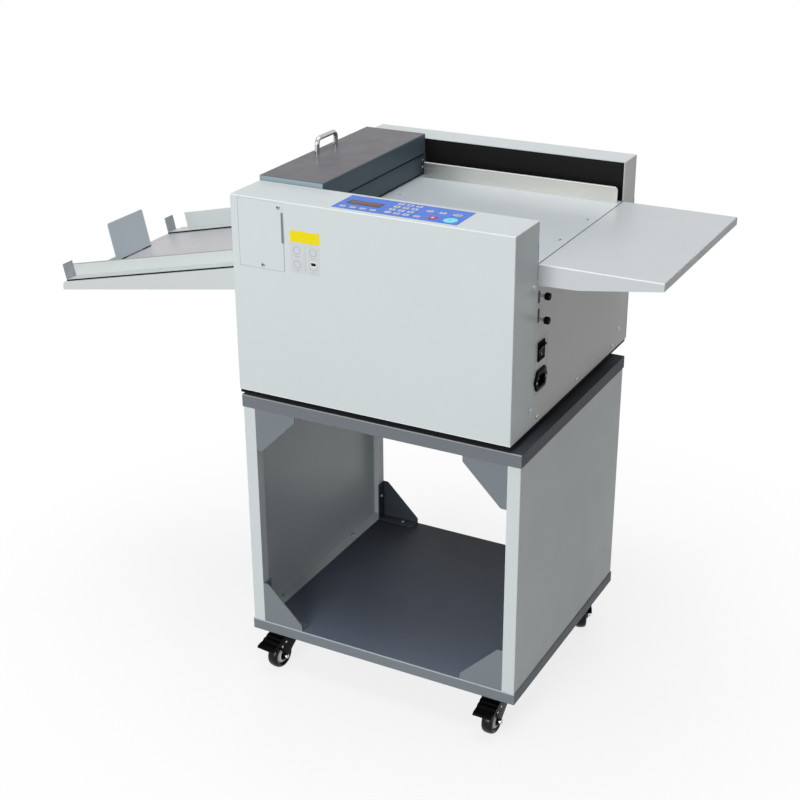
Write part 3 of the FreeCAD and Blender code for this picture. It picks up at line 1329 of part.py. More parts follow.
def feed_drive():
    gear_face = "throat_front - frame_plate - gear_gap - gear_width"
    pulley_face = f"{gear_face} - gear_gap - pulley_width"
    motor_back = f"{pulley_face} - gear_gap"
    up, down = "90", "0 - 90 + 180/gear_teeth"
    roller("lower_infeed_roller", "infeed_axis_x", "lower_axis", f"{motor_back} - motor_engagement", up, True)
    roller("upper_infeed_roller", "infeed_axis_x", "upper_axis", f"{gear_face} - shaft_end", down, False)
    roller("lower_exit_roller", "exit_axis_x", "lower_axis", f"{pulley_face} - shaft_end/2", up, True)
    roller("upper_exit_roller", "exit_axis_x", "upper_axis", f"{gear_face} - shaft_end", down, False)

    bushes = []
    plates = (("throat_front - frame_plate", "throat_front"), ("throat_back", "throat_back + frame_plate"))
    spots = [(x, z, "roller_shaft_radius") for x in ("infeed_axis_x", "exit_axis_x")
             for z in ("lower_axis", "upper_axis")]
    spots.append(("crease_centre", "cam_axis", "cam_shaft_radius"))
    for span in plates:
        for x, z, radius in spots:
            ring = rod("bushing_ring", "y", (x, z), span, "bushing_radius")
            bore = rod("bushing_bore", "y", (x, z), span, f"{radius} + shaft_fit")
            bushes.append(less("bushing", ring, bore))
    named(group("bushing_set", *bushes), "roller_bushings")

    flange = "pulley_flange + belt_seat"
    span = (f"{pulley_face} + {flange}", f"{pulley_face} + pulley_width - ({flange})")
    inner = "pulley_radius + belt_seat"
    loops = []
    for kind, radius in (("outer", f"{inner} + belt_thickness"), ("inner", inner)):
        ends = [rod(f"belt_{kind}_{number}", "y", (x, "lower_axis"), span, radius)
                for number, x in ((1, "infeed_axis_x"), (2, "exit_axis_x"))]
        middle = box(f"belt_{kind}_run", ("exit_axis_x", "infeed_axis_x"), span,
                     (f"lower_axis - ({radius})", f"lower_axis + {radius}"))
        loops.append(union(f"belt_{kind}", *ends, middle))
    named(less("belt_loop", *loops), "feed_belt")

    case = box("feed_motor_case", about("infeed_axis_x", "motor_side"),
               (f"{motor_back} - motor_length", motor_back), about("lower_axis", "motor_side"))
    posts = [rod(f"feed_motor_post_{number}", "y", (f"infeed_axis_x + {a}*motor_post_pitch/2",
                                                    f"lower_axis + {b}*motor_post_pitch/2"),
                 (motor_back, "throat_front - frame_plate"), "motor_post_radius")
             for number, (a, b) in enumerate(((-1, -1), (-1, 1), (1, -1), (1, 1)), 1)]
    bore = rod("feed_motor_bore", "y", ("infeed_axis_x", "lower_axis"),
               (f"{motor_back} - motor_engagement - shaft_end", motor_back),
               "roller_shaft_radius + shaft_fit")
    feed_motor = less("feed_motor", union("feed_motor_solid", case, *posts), bore)
    start = "throat_back + frame_plate"
    axis = ("crease_centre", "cam_axis")
    can = rod("crease_motor_can", "y", axis, (start, f"{start} + crease_motor_length"), "crease_motor_radius")
    can_bore = rod("crease_motor_bore", "y", axis, (start, f"{start} + motor_engagement + shaft_end"),
                   "cam_shaft_radius + shaft_fit")
    named(group("motor_set", feed_motor, less("crease_motor", can, can_bore)), "drive_motors")


def cam_outline():
    """A cam whose radius grows evenly with the turn and falls back evenly over the rest of the circle."""
    low, rise, turn = size("cam_base_radius"), size("crease_stroke"), size("cam_turn")
    steps = 48
    points = []
    for step in range(steps):
        angle = 360*step/steps
        share = angle/turn if angle <= turn else (360 - angle)/(360 - turn)
        radius = low + rise*share
        heading = math.radians(180 - angle)
        points.append(Vector(radius*math.sin(heading), 0, radius*math.cos(heading)))
    curve = Part.BSplineCurve()
    curve.interpolate(points, PeriodicFlag=True)
    return Part.Face(Part.Wire(curve.toShape()))


def creasing():
    x = "crease_centre"
    wide = about(x, "die_width")
    die = box("die_block", wide, ("throat_front", "throat_back"), ("table_top - die_height", "table_top"))
    ends = [box("die_end", wide, span, ("table_top - table_sheet", "table_top"))
            for span in (("throat_front", "throat_front + beam_end_gap"),
                         ("throat_back - beam_end_gap", "throat_back"))]
    groove = box("die_groove", about(x, "groove_width"), ("throat_front", "throat_back"),
                 ("table_top - groove_depth", "table_top"))
    named(less("die_cut", die, groove, *ends), "crease_die")

    inner = ("throat_front + beam_end_gap", "throat_back - beam_end_gap")
    bar = box("beam_bar", about(x, "beam_width"), inner, ("beam_bottom", "beam_top"))
    tongue = box("beam_tongue", about(x, "tongue_width"),
                 ("throat_front - frame_plate", "throat_back + frame_plate"),
                 ("beam_bottom + tongue_lift", "beam_bottom + tongue_lift + tongue_height"))
    blade = box("beam_blade", about(x, "blade_thickness"), inner, ("blade_tip", "beam_bottom"))
    named(union("beam_set", bar, tongue, blade), "crease_beam")

    shaft = rod("cam_shaft_bar", "y", (x, "cam_axis"), ("throat_front - frame_plate - shaft_end",
                                                        "throat_back + frame_plate + motor_engagement"),
                "cam_shaft_radius")
    cams = []
    for number, y in ((1, "throat_front + cam_inset"), (2, "throat_back - cam_inset - cam_width")):
        cam = doc.addObject("Part::Feature", f"cam_{number}")
        cam.Shape = cam_outline().extrude(Vector(0, size("cam_width"), 0))
        cams.append(place(cam, x, y, "cam_axis"))
    named(union("cam_set", shaft, *cams), "cam_shaft")


def power_supply():
    x = ("body_left + supply_x", "body_left + supply_x + supply_length")
    y = ("body_front + supply_y", "body_front + supply_y + supply_depth")
    named(box("supply_block", x, y, ("frame_bottom", "frame_bottom + supply_height")), "power_supply")


stand()
casters()
base()
side_frame("front_side_frame", ("throat_front - frame_plate", "throat_front"))
side_frame("rear_side_frame", ("throat_back", "throat_back + frame_plate"))
front_cover()
access_door()
rear_cover()
infeed_end_panel()
exit_end_panel()
tables()
fence()
cover_screws()
head()
controls()
clamp_knob("upper")
clamp_knob("lower")
rocker_switch()
power_inlet()
exit_tray()
exit_guide("exit_guide_front", "0", "guide_front_wall", "0")
exit_guide("exit_guide_rear", "throat_width - guide_rear_inset - guide_foot", "guide_rear_wall",
           "guide_rear_cut")
exit_stop()
feed_drive()
creasing()
power_supply()

doc.recompute()
for item in doc.Objects:
    if "Invalid" in item.State or "Error" in item.State:
        raise RuntimeError(f"{item.Label} failed: {item.State}")
for item in nodes:
    if item.Shape.isNull() or not item.Shape.isValid():
        raise RuntimeError(f"{item.Label} has no valid shape")

os.makedirs("parts", exist_ok=True)
for item in nodes:
    item.Shape.exportStep(f"parts/{item.Label}.step")
print(len(nodes), "parts written")
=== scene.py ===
"""Looks of a paper creasing machine on a castored stand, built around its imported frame.

Pieces are worked out in millimetres in the frame's own axes and set in metres by piece().
"""
import json
import math
import bmesh
import bpy
import numpy as np
from mathutils import Matrix, Vector

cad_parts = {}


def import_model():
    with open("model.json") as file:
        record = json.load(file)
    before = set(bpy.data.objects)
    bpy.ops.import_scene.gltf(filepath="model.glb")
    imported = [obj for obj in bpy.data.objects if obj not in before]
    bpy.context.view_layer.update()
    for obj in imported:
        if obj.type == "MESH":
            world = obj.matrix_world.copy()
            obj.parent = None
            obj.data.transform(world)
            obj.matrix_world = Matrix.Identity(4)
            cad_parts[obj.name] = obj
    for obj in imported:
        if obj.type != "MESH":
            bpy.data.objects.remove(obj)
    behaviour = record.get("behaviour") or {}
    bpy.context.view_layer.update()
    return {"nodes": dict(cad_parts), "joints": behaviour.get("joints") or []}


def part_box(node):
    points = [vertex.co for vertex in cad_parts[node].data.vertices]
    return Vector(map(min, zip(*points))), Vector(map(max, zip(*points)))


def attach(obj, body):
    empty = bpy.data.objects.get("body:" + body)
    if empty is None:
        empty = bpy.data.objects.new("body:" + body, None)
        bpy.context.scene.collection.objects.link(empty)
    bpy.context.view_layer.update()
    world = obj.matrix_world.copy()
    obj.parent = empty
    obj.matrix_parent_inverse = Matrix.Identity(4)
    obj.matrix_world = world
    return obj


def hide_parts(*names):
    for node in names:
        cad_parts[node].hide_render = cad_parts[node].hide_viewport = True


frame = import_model()
MM = 0.001
JOINTS = {joint["name"]: joint for joint in frame["joints"]}

# Axes of the faces that pieces are set on: across, up and out of each face.
TOP = np.array(((1, 0, 0), (0, 1, 0), (0, 0, 1)), float)
UNDERSIDE = np.array(((1, 0, 0), (0, -1, 0), (0, 0, -1)), float)
FRONT = np.array(((1, 0, 0), (0, 0, 1), (0, -1, 0)), float)
BACK = np.array(((-1, 0, 0), (0, 0, 1), (0, 1, 0)), float)
RIGHT = np.array(((0, 1, 0), (0, 0, 1), (1, 0, 0)), float)
LEFT = np.array(((0, -1, 0), (0, 0, 1), (-1, 0, 0)), float)
FACING = ((LEFT, RIGHT), (FRONT, BACK), (UNDERSIDE, TOP))

# Thickness of print in millimetres, and the angle from which an edge is shaded sharp.
PRINT, SHARP_EDGE = 0.06, math.radians(38)


def box(node):
    """Lowest and highest corner of a sub-part, in millimetres."""
    low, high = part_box(node)
    return np.array(low)/MM, np.array(high)/MM


def furthest(node, direction, aside=None, short=0.0):
    """How far a sub-part reaches along a direction, in millimetres.

    With aside, only the points are taken that stay more than short millimetres from its end that way.
    """
    data = frame["nodes"][node].data
    points = np.empty(len(data.vertices)*3, np.float32)
    data.vertices.foreach_get("co", points)
    points = points.reshape(-1, 3)
    if aside is not None:
        reach = points @ np.array(aside)
        points = points[reach < reach.max() - short*MM]
    return float((points @ np.array(direction)).max()/MM)


def islands(node):
    """Lowest and highest corners, in millimetres, of each separate solid of a sub-part."""
    shell = bmesh.new()
    shell.from_mesh(frame["nodes"][node].data)
    bmesh.ops.remove_doubles(shell, verts=shell.verts, dist=1e-6)
    found, left = [], set(shell.verts)
    while left:
        group, edge = set(), {left.pop()}
        while edge:
            group |= edge
            edge = {other for vert in edge for link in vert.link_edges for other in link.verts} - group
        left -= group
        spots = np.array([vert.co for vert in group])/MM
        found.append((spots.min(0), spots.max(0)))
    shell.free()
    return sorted(found, key=lambda pair: tuple(np.round(pair[0], 2)))


# ---- surfaces

def unit(vectors):
    return vectors/np.maximum(np.linalg.norm(vectors, axis=-1, keepdims=True), 1e-12)


def circle(radius, count=48):
    """Points at even angles round the origin."""
    angle = np.arange(count)*2*math.pi/count
    return radius*np.stack([np.cos(angle), np.sin(angle)], -1)


def rounded(corners, radius, steps=5):
    """Each corner gives way to a circle's arc, written as a rational curve whose middle weight is the
    sine of half the corner's angle; it starts and ends at radius over the tangent of that half angle."""
    corners = np.asarray(corners, float)
    back, ahead = unit(np.roll(corners, 1, 0) - corners), unit(np.roll(corners, -1, 0) - corners)
    half = np.arccos(np.clip((back*ahead).sum(1), -1, 1))[:, None]/2
    reach = np.broadcast_to(np.asarray(radius, float), len(corners))[:, None]/np.tan(half)
    start, end = (corners + back*reach)[:, None], (corners + ahead*reach)[:, None]
    t = np.linspace(0, 1, steps + 1)[None, :, None]
    first, middle, last = (1 - t)**2, 2*np.sin(half)[:, None]*t*(1 - t), t**2
    return ((first*start + middle*corners[:, None] + last*end)/(first + middle + last)).reshape(-1, 2)


def oblong(width, height, radius):
    """A rectangle about the origin with round corners."""
    w, h = width/2, height/2
    return rounded(((-w, -h), (w, -h), (w, h), (-w, h)), radius)


def inset(loop, distance):
    """Every point moves inwards along the mean of its two edges' normals, further where they turn."""
    ahead = unit(np.roll(loop, -1, 0) - loop)
    mean = unit(ahead + np.roll(ahead, 1, 0))
    cosine = np.maximum((mean*ahead).sum(1), 0.3)[:, None]
    return loop + distance*np.stack([-mean[:, 1], mean[:, 0]], -1)/cosine


def at_height(loop, height):
    return np.column_stack([loop, np.full(len(loop), float(height))])


def stacked(*levels):
    """Rows for skin from pairs of a loop and its height."""
    return [at_height(loop, height) for loop, height in levels]


def skin(rows, wrap=False):
    """Quads over a stack of closed loops. The end loops are closed by a face, or joined to each other."""
    rows = np.asarray(rows, float)
    levels, count = rows.shape[:2]
    index = np.arange(levels*count).reshape(levels, count)
    lower, upper = (index, np.roll(index, -1, 0)) if wrap else (index[:-1], index[1:])
    quads = np.stack([lower, np.roll(lower, -1, 1), np.roll(upper, -1, 1), upper], -1).reshape(-1, 4)
    caps = [] if wrap else [index[0].tolist(), index[-1].tolist()]
    return rows.reshape(-1, 3), quads.tolist() + caps


def drawn_in(loop, level, radius, into):
    """Rows of a quarter circle that brings a loop in at a level; into is the way to the plate's middle."""
    turn = np.linspace(0, math.pi/2, 5) if radius else [math.pi/2]
    return [at_height(inset(loop, radius*(1 - math.sin(t))), level + into*radius*(1 - math.cos(t)))
            for t in turn]


def slab(loop, low, high, edge=0.0, under=0.0):
    """A plate: the loop runs from low to high and draws in along a quarter circle at either edge."""
    return skin(drawn_in(loop, low, under, 1) + drawn_in(loop, high, edge, -1)[::-1])


def pillow(loop, high, edge, crown):
    """A key's cap: straight sides, a quarter-circle edge and a top that rises with one minus the
    square of the distance from its middle."""
    rim, middle = inset(loop, edge), loop.mean(0)
    rows = stacked((loop, 0)) + drawn_in(loop, high, edge, -1)[::-1]
    return skin(rows + stacked(*((middle + (rim - middle)*share, high + crown*(1 - share**2))
                                 for share in (0.8, 0.55, 0.3, 0.08))))


def hoop(outer, inner, low, high):
    """A flat ring between two loops with as many points."""
    return skin(stacked((outer, low), (outer, high), (inner, high), (inner, low)), wrap=True)


def outline(loop, width, low, high):
    """A flat ring that runs along the inside of a loop."""
    return hoop(loop, inset(loop, width), low, high)


def turned(profile, count=48, wrap=False):
    """A profile of radius and height turned about the upright axis and closed at both ends, or, with
    wrap, closed in itself."""
    return skin(stacked(*((circle(radius, count), height) for radius, height in profile)), wrap)


def swept(path, section, side):
    """A section carried along a path: its first axis stays along side, its second square to it and
    to the path's direction."""
    path, side = np.asarray(path, float), np.asarray(side, float)
    forward = unit(np.gradient(path, axis=0))
    other = unit(np.cross(forward, side))
    return skin(path[:, None] + section[None, :, :1]*side + section[None, :, 1:]*other[:, None])


def moved(surface, origin=(0, 0, 0), axes=TOP):
    """A surface in local coordinates set on a face: across, up and out."""
    points, faces = surface
    return points @ axes + np.asarray(origin, float), faces


def cross_head(radius, height):
    """A pan-head screw: a domed top, and in it a cross whose outline at each angle is the nearer of
    the arm's end and the arm's side."""
    arm_end, arm_side = 0.55*radius, 0.17*radius
    way = np.abs(circle(1.0))
    reach = np.minimum(arm_end/way.max(1), arm_side/np.maximum(way.min(1), 1e-6))
    cross = circle(1.0)*reach[:, None]
    dome = [(circle(radius*(1 - 0.3*t*t)), height*(0.25 + 0.75*math.sqrt(t*(2 - t))))
            for t in np.linspace(0, 1, 5)]
    return skin(stacked((circle(radius), 0), *dome, (cross, height), (cross*0.86, height*0.35)))


def glyph(text, size):
    """A figure as thin raised print about the origin, from the outlines of the built-in font."""
    curve = bpy.data.curves.new("print", "FONT")
    curve.body, curve.size, curve.extrude = text, size, PRINT/2
    curve.resolution_u = 3
    holder = bpy.data.objects.new("print", curve)
    mesh = bpy.data.meshes.new_from_object(holder)
    points = np.empty(len(mesh.vertices)*3, np.float32)
    mesh.vertices.foreach_get("co", points)
    points = points.reshape(-1, 3).astype(float)
    points[:, :2] -= (points[:, :2].min(0) + points[:, :2].max(0))/2
    faces = [list(face.vertices) for face in mesh.polygons]
    bpy.data.meshes.remove(mesh)
    bpy.data.objects.remove(holder)
    return points + (0, 0, PRINT/2), faces


def placed(name, data):
    """A new object of the scene that holds some data."""
    item = bpy.data.objects.new(name, data)
    bpy.context.scene.collection.objects.link(item)
    return item


def piece(name, ride, parts, replaces=()):
    """Joins parts into one mesh that rides on a body of the frame. A part is a surface, its finish and,
    unless it is in place already, its origin and the axes of the face that it is set on."""
    finishes = list(dict.fromkeys(finish for _, finish, *_ in parts))
    points, faces, numbers, start = [], [], [], 0
    for surface, finish, *seat in parts:
        spots, sides = moved(surface, *seat)
        points.append(spots)
        faces += [[corner + start for corner in side] for side in sides]
        numbers += [finishes.index(finish)]*len(sides)
        start += len(spots)
    mesh = bpy.data.meshes.new(name)
    mesh.from_pydata((np.concatenate(points)*MM).tolist(), [], faces)
    mesh.polygons.foreach_set("material_index", numbers)
    for finish in finishes:
        mesh.materials.append(finish)
    shell = bmesh.new()
    shell.from_mesh(mesh)
    bmesh.ops.remove_doubles(shell, verts=shell.verts, dist=1e-7)
    bmesh.ops.recalc_face_normals(shell, faces=shell.faces)
    shell.to_mesh(mesh)
    shell.free()
    mesh.polygons.foreach_set("use_smooth", np.ones(len(mesh.polygons), bool))
    mesh.set_sharp_from_angle(angle=SHARP_EDGE)
    item = placed(name, mesh)
    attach(item, ride)
    if replaces:
        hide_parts(*replaces)


# ---- finishes

def tint(code):
    """A colour written as on a screen, as linear light."""
    shares = np.array([int(code[i:i + 2], 16) for i in (1, 3, 5)])/255
    linear = np.where(shares <= 0.04045, shares/12.92, ((shares + 0.055)/1.055)**2.4)
    return (*linear.tolist(), 1.0)


def join(tree, item, inputs):
    """Gives a node's inputs plain values, or links them from sockets."""
    for key, value in inputs.items():
        if isinstance(value, bpy.types.NodeSocket):
            tree.links.new(value, item.inputs[key])
        else:
            item.inputs[key].default_value = value
    return item


def add_node(tree, kind, inputs=None, **settings):
    item = tree.nodes.new("ShaderNode" + kind)
    for key, value in settings.items():
        setattr(item, key, value)
    return join(tree, item, inputs or {})


class Finish:
    """A material's nodes. Patterns read the piece's own coordinates; plain values sit on the shader."""

    def __init__(self, name, **sockets):
        self.material = bpy.data.materials.new(name)
        self.material.use_nodes = True
        self.tree = self.material.node_tree
        self.shader = self.tree.nodes["Principled BSDF"]
        self.place = self.new("TexCoord").outputs["Object"]
        self.paint(**sockets)

    def new(self, kind, inputs=None, **settings):
        return add_node(self.tree, kind, inputs, **settings)

    def noise(self, scale, detail=2.0, stretch=None):
        """Fractal noise; stretch gives how fast it runs along each axis."""
        where = self.place
        if stretch:
            where = self.new("Mapping", {"Vector": where, "Scale": stretch}).outputs["Vector"]
        return self.new("TexNoise", {"Vector": where, "Scale": scale, "Detail": detail}).outputs["Fac"]

    def pits(self, scale):
        return self.new("TexVoronoi", {"Vector": self.place, "Scale": scale}).outputs["Distance"]

    def number(self, operation, first, second):
        return self.new("Math", {0: first, 1: second}, operation=operation).outputs[0]

    def vector(self, operation, first, second=(0, 0, 0), result="Vector"):
        return self.new("VectorMath", {0: first, 1: second}, operation=operation).outputs[result]

    def along(self, axis):
        return self.new("SeparateXYZ", {"Vector": self.place}).outputs[axis]

    def spread(self, value, low, high, start=0.3, end=0.7):
        """A pattern's middle range taken to a range of numbers."""
        return self.new("MapRange", {"Value": value, "From Min": start, "From Max": end, "To Min": low,
                                     "To Max": high}).outputs["Result"]

    def ramp(self, value, codes, stops=(0.3, 0.7)):
        """Colours laid along a pattern's value."""
        item = self.new("ValToRGB", {"Fac": value})
        item.color_ramp.interpolation = "EASE"
        while len(item.color_ramp.elements) < len(codes):
            item.color_ramp.elements.new(0.5)
        for element, code, stop in zip(item.color_ramp.elements, codes, stops):
            element.position, element.color = stop, tint(code)
        return item.outputs["Color"]

    def mix(self, share, under, over):
        return self.new("MixRGB", {"Fac": share, "Color1": under, "Color2": over}).outputs["Color"]

    def relief(self, height, depth):
        return self.new("Bump", {"Height": height, "Distance": depth, "Strength": 1.0}).outputs["Normal"]

    def paint(self, **sockets):
        """Values or patterns for the shader's sockets, with an underscore for a space in their names."""
        join(self.tree, self.shader, {key.replace("_", " "): value for key, value in sockets.items()})
        return self.material


def powder_coat(name, tints, roughness=0.38, gloss=0.22, faces=()):
    """Baked powder paint: two close tints in wide soft patches with a fine fleck, an orange-peel skin
    and a slightly uneven gloss. Gloss is the share of the usual reflection at its surface.

    A face has tints of its own, used both for a real second colour, such as a magnet strip, and for painted
    light, shade and highlights: it lies beyond a level, measured along a direction in millimetres, and fades
    in over a last length."""
    finish = Finish(name, Specular_IOR_Level=gloss, Coat_Weight=gloss/4, Coat_Roughness=0.12)
    fleck = finish.spread(finish.noise(500.0), -0.08, 0.08)
    cloud = finish.number("ADD", finish.noise(2.6, 3.0), fleck)
    colour = finish.ramp(cloud, tints)
    for direction, level, own_tints, fade in faces:
        height = finish.vector("DOT_PRODUCT", finish.place, direction, "Value")
        beyond = finish.spread(height, 0.0, 1.0, level*MM, (level + fade)*MM)
        colour = finish.mix(beyond, colour, finish.ramp(cloud, own_tints))
    return finish.paint(
        Base_Color=colour,
        Roughness=finish.spread(finish.noise(35.0, 3.0), roughness - 0.04, roughness + 0.05),
        Normal=finish.relief(finish.noise(650.0, 3.0), 0.000006))


def plastic(name, pale, deep, roughness=0.35, gloss=0.5, grain=0.00002, scale=900.0):
    """Moulded plastic: a faint cloud in the colour and a fine spark-eroded grain."""
    finish = Finish(name, Specular_IOR_Level=gloss)
    return finish.paint(
        Base_Color=finish.ramp(finish.noise(60.0, 3.0), (deep, pale)),
        Roughness=finish.spread(finish.noise(140.0), roughness - 0.06, roughness + 0.08),
        Normal=finish.relief(finish.noise(scale), grain))


def metal(name, pale, deep, roughness, stretch=None, scale=40.0, grain=0.00001):
    """Bare or plated metal; a stretch draws its grain out into brushed lines."""
    finish = Finish(name, Metallic=1.0)
    lines = finish.noise(scale, 4.0, stretch)
    return finish.paint(
        Base_Color=finish.ramp(lines, (deep, pale)),
        Roughness=finish.spread(finish.noise(scale*0.7, 3.0, stretch), roughness*0.8, roughness*1.25),
        Normal=finish.relief(lines, grain))


def brushed(name, start, end):
    """Stainless sheet brushed along X, with a painted reflection that is duller towards its start and
    brightest through its middle, and a painted highlight as a white, non-metal band along its upper edge.
    """
    finish = Finish(name)
    stretch = (3.0, 300.0, 300.0)
    lines = finish.noise(5.0, 4.0, stretch)
    # Along X: a painted reflection band.
    share = finish.spread(finish.along("X"), 0.0, 1.0, float(start[0]*MM), float(end[0]*MM))
    # Near the upper edge: a painted highlight.
    edge = finish.spread(finish.along("Z"), 0.0, 1.0, float((end[2] - 1.3)*MM), float((end[2] - 1.1)*MM))
    tone = finish.ramp(share, ("#b9bab6", "#dddcd6", "#dddcd5", "#d4d3cb"), (0.0, 0.3, 0.7, 1.0))
    sheet = finish.new("VectorMath", {0: tone, "Scale": finish.spread(lines, 0.94, 1.0)}, operation="SCALE")
    return finish.paint(
        Base_Color=finish.mix(edge, sheet.outputs["Vector"], tint("#fbfbfa")),
        Metallic=finish.spread(edge, 1.0, 0.0),
        Roughness=finish.spread(finish.noise(3.5, 3.0, stretch), 0.29, 0.45),
        Normal=finish.relief(lines, 0.000004))


def rubber(name, pale, deep, roughness=0.55):
    """Moulded rubber: small pits and a dusty cloud."""
    finish = Finish(name)
    return finish.paint(
        Base_Color=finish.ramp(finish.noise(45.0, 4.0), (deep, pale)),
        Roughness=finish.spread(finish.noise(90.0), roughness - 0.08, roughness + 0.1),
        Normal=finish.relief(finish.pits(700.0), 0.00004))


def sleeved_roller(name, axle, shaft, gears):
    """A roller's shaft in ground steel, its sleeves in rubber where they stand off the shaft, and its
    gear in moulded white where it stands off the shaft in front of a level along the axle."""
    finish = Finish(name)
    offset = finish.vector("SUBTRACT", finish.place, (axle[0]*MM, 0.0, axle[1]*MM))
    across = finish.vector("MULTIPLY", offset, (1.0, 0.0, 1.0))
    reach = finish.vector("LENGTH", across, result="Value")
    proud = finish.number("GREATER_THAN", reach, (shaft + 0.3)*MM)
    ahead = finish.number("LESS_THAN", finish.along("Y"), gears*MM)
    cloud = finish.noise(45.0, 4.0)
    steel = finish.ramp(cloud, ("#9fa3a8", "#a9acb0"))
    sleeve = finish.ramp(cloud, ("#3e4043", "#47494c"))
    gear = finish.ramp(cloud, ("#cfcec8", "#d6d5cf"))
    return finish.paint(
        Base_Color=finish.mix(proud, steel, finish.mix(ahead, sleeve, gear)),
        Metallic=finish.spread(proud, 1.0, 0.0, 0.0, 1.0),
        Roughness=finish.spread(finish.noise(90.0), 0.34, 0.46),
        Normal=finish.relief(finish.pits(700.0), 0.000012))


def screen(name, origin):
    """A liquid crystal window: rows of character cells a shade darker than the ground, under gloss."""
    finish = Finish(name, Specular_IOR_Level=0.1, Coat_Weight=0.05, Coat_Roughness=0.04)
    where = finish.new("Mapping", {"Vector": finish.place, "Location": tuple(-np.asarray(origin)*MM)})
    cells = finish.new("TexBrick", {
        "Vector": where.outputs["Vector"], "Scale": 1.0, "Mortar Size": 0.00035, "Brick Width": 0.0031,
        "Row Height": 0.0062, "Color1": tint("#54342f"), "Color2": tint("#5b3934"),
        "Mortar": tint("#6f493e")}, offset=0.0)
    return finish.paint(Base_Color=cells.outputs["Color"],
                        Roughness=finish.spread(finish.noise(30.0), 0.16, 0.24))


def printed(name, pale, deep, roughness=0.4):
    """Screen-printed ink or film: a flat tone with the faint weave of the print."""
    finish = Finish(name, Specular_IOR_Level=0.08)
    weave = finish.noise(1400.0)
    return finish.paint(Base_Color=finish.ramp(weave, (deep, pale)),
                        Roughness=finish.spread(finish.noise(80.0), roughness - 0.05, roughness + 0.05),
                        Normal=finish.relief(weave, 0.000008))


front_low, front_high = box("front_cover")
BODY_LEFT, BODY_FRONT = front_low[:2]
BODY_RIGHT, THROAT_FRONT, BODY_TOP = front_high
TABLE_TOP = box("feed_table")[1][2]
LID_BOTTOM = box("head_cover")[0][2]
BODY_BACK = box("rear_cover")[1][1]
SHELF_LOW, SHELF_HIGH = box("stand_shelf")
STAND_BOTTOM = box("stand_top_plate")[0][2]
SHAFT_RADIUS = 4.0

# Directions of faces and folds, and of the exit tray's sloping deck.
UPWARD, FORWARD, BACKWARD = (0.0, 0.0, 1.0), (0.0, -1.0, 0.0), (0.0, 1.0, 0.0)
TOP_FOLD, FOOT_FOLD = (0.0, -0.7071, 0.7071), (0.0, -0.7071, -0.7071)
UP_SLOPE = JOINTS["stop_slide"]["axis"]
DOWN_SLOPE = tuple(-value for value in UP_SLOPE)
SLOPE = math.atan2(UP_SLOPE[2], UP_SLOPE[0])
OFF_DECK = (-math.sin(SLOPE), 0.0, math.cos(SLOPE))
INTO_DECK = (math.sin(SLOPE), 0.0, -math.cos(SLOPE))
DECK_START = (BODY_LEFT - 0.3, THROAT_FRONT, box("exit_tray")[1][2])
DECK_LEVEL = float(np.dot(OFF_DECK, DECK_START))
STRIP_TOP = DECK_LEVEL + 2.5
STRIP_TINTS = ("#08080a", "#0d0d0f")
# Level along Y beyond which the gussets carry painted shade.
REAR_GUSSET_SHADE_LEVEL = 100.0

# Depths in millimetres that a face, a fold's painted highlight, the painted shade along a guide's upper edge
# and the painted shade on its end tab take up, and the length over which a face fades in where it has a sharp
# border.
SKIN, FOLD_HIGHLIGHT_DEPTH, EDGE_SHADE_DEPTH, TAB_SHADE_DEPTH, SHARP = 0.4, 0.5, 1.6, 2.5, 0.01


def face(node, direction, tints, depth=SKIN):
    """What lies less than a depth from a sub-part's furthest point in a direction."""
    return direction, furthest(node, direction) - depth, tints, SHARP


def painted_fold_highlight(node, direction, pale):
    """A painted highlight: the narrow face along a fold of the sheet, in a paler tint where the rounded fold
    would catch the light.
    """
    return face(node, direction, (pale, pale), FOLD_HIGHLIGHT_DEPTH)


def guide_coat(name, node, edge):
    """A guide's paint: painted shade on its end tab, its upper edge in a tint of its own that on the front
    guide is painted shade, and its magnet strip black.
    """
    wall_top = furthest(node, OFF_DECK, aside=DOWN_SLOPE, short=20.0)
    return powder_coat(name, ("#cbd1d1", "#cfd5d5"), 0.4, 0.15, (
        (OFF_DECK, wall_top - EDGE_SHADE_DEPTH, edge, SHARP),
        face(node, DOWN_SLOPE, ("#9fa4a9", "#a3a8ad"), TAB_SHADE_DEPTH),
        (INTO_DECK, -STRIP_TOP - SKIN, STRIP_TINTS, SHARP)))


def shelf_coat_with_painted_shade():
    """The shelf's paint: its top in a darker, bluer tint than its front, painted shade and sheen, and darker
    still towards its back, painted shade: a level that leans back by no more than the skin's depth fades in
    over the top alone. Its front fold carries a painted highlight."""
    lean = float(SKIN/(SHELF_HIGH[1] - SHELF_LOW[1]))
    back_edge = float(SHELF_HIGH[2] + lean*SHELF_HIGH[1])
    return powder_coat("shelf_powder", ("#7a8187", "#7e858b"), 0.42, 0.06, (
        face("stand_shelf", UPWARD, ("#6b7484", "#6f7888")),
        ((0.0, lean, 1.0), back_edge - SKIN, ("#323337", "#36373b"), SKIN),
        painted_fold_highlight("stand_shelf", TOP_FOLD, "#b6bcc4")))


def stop_coat():
    """The paper stop's paint, with its magnet strip black but for a pale middle stretch."""
    low, high = box("exit_stop")
    pale_from, pale_to = (float(low[1] + share*(high[1] - low[1])) for share in (0.3, 0.74))
    return powder_coat("stop_powder", STRIP_TINTS, 0.4, 0.15, (
        (BACKWARD, pale_from, ("#b4b8bd", "#b8bcc1"), SHARP),
        (BACKWARD, pale_to, STRIP_TINTS, SHARP),
        (OFF_DECK, STRIP_TOP, ("#bac4cb", "#bec8cf"), SHARP)))


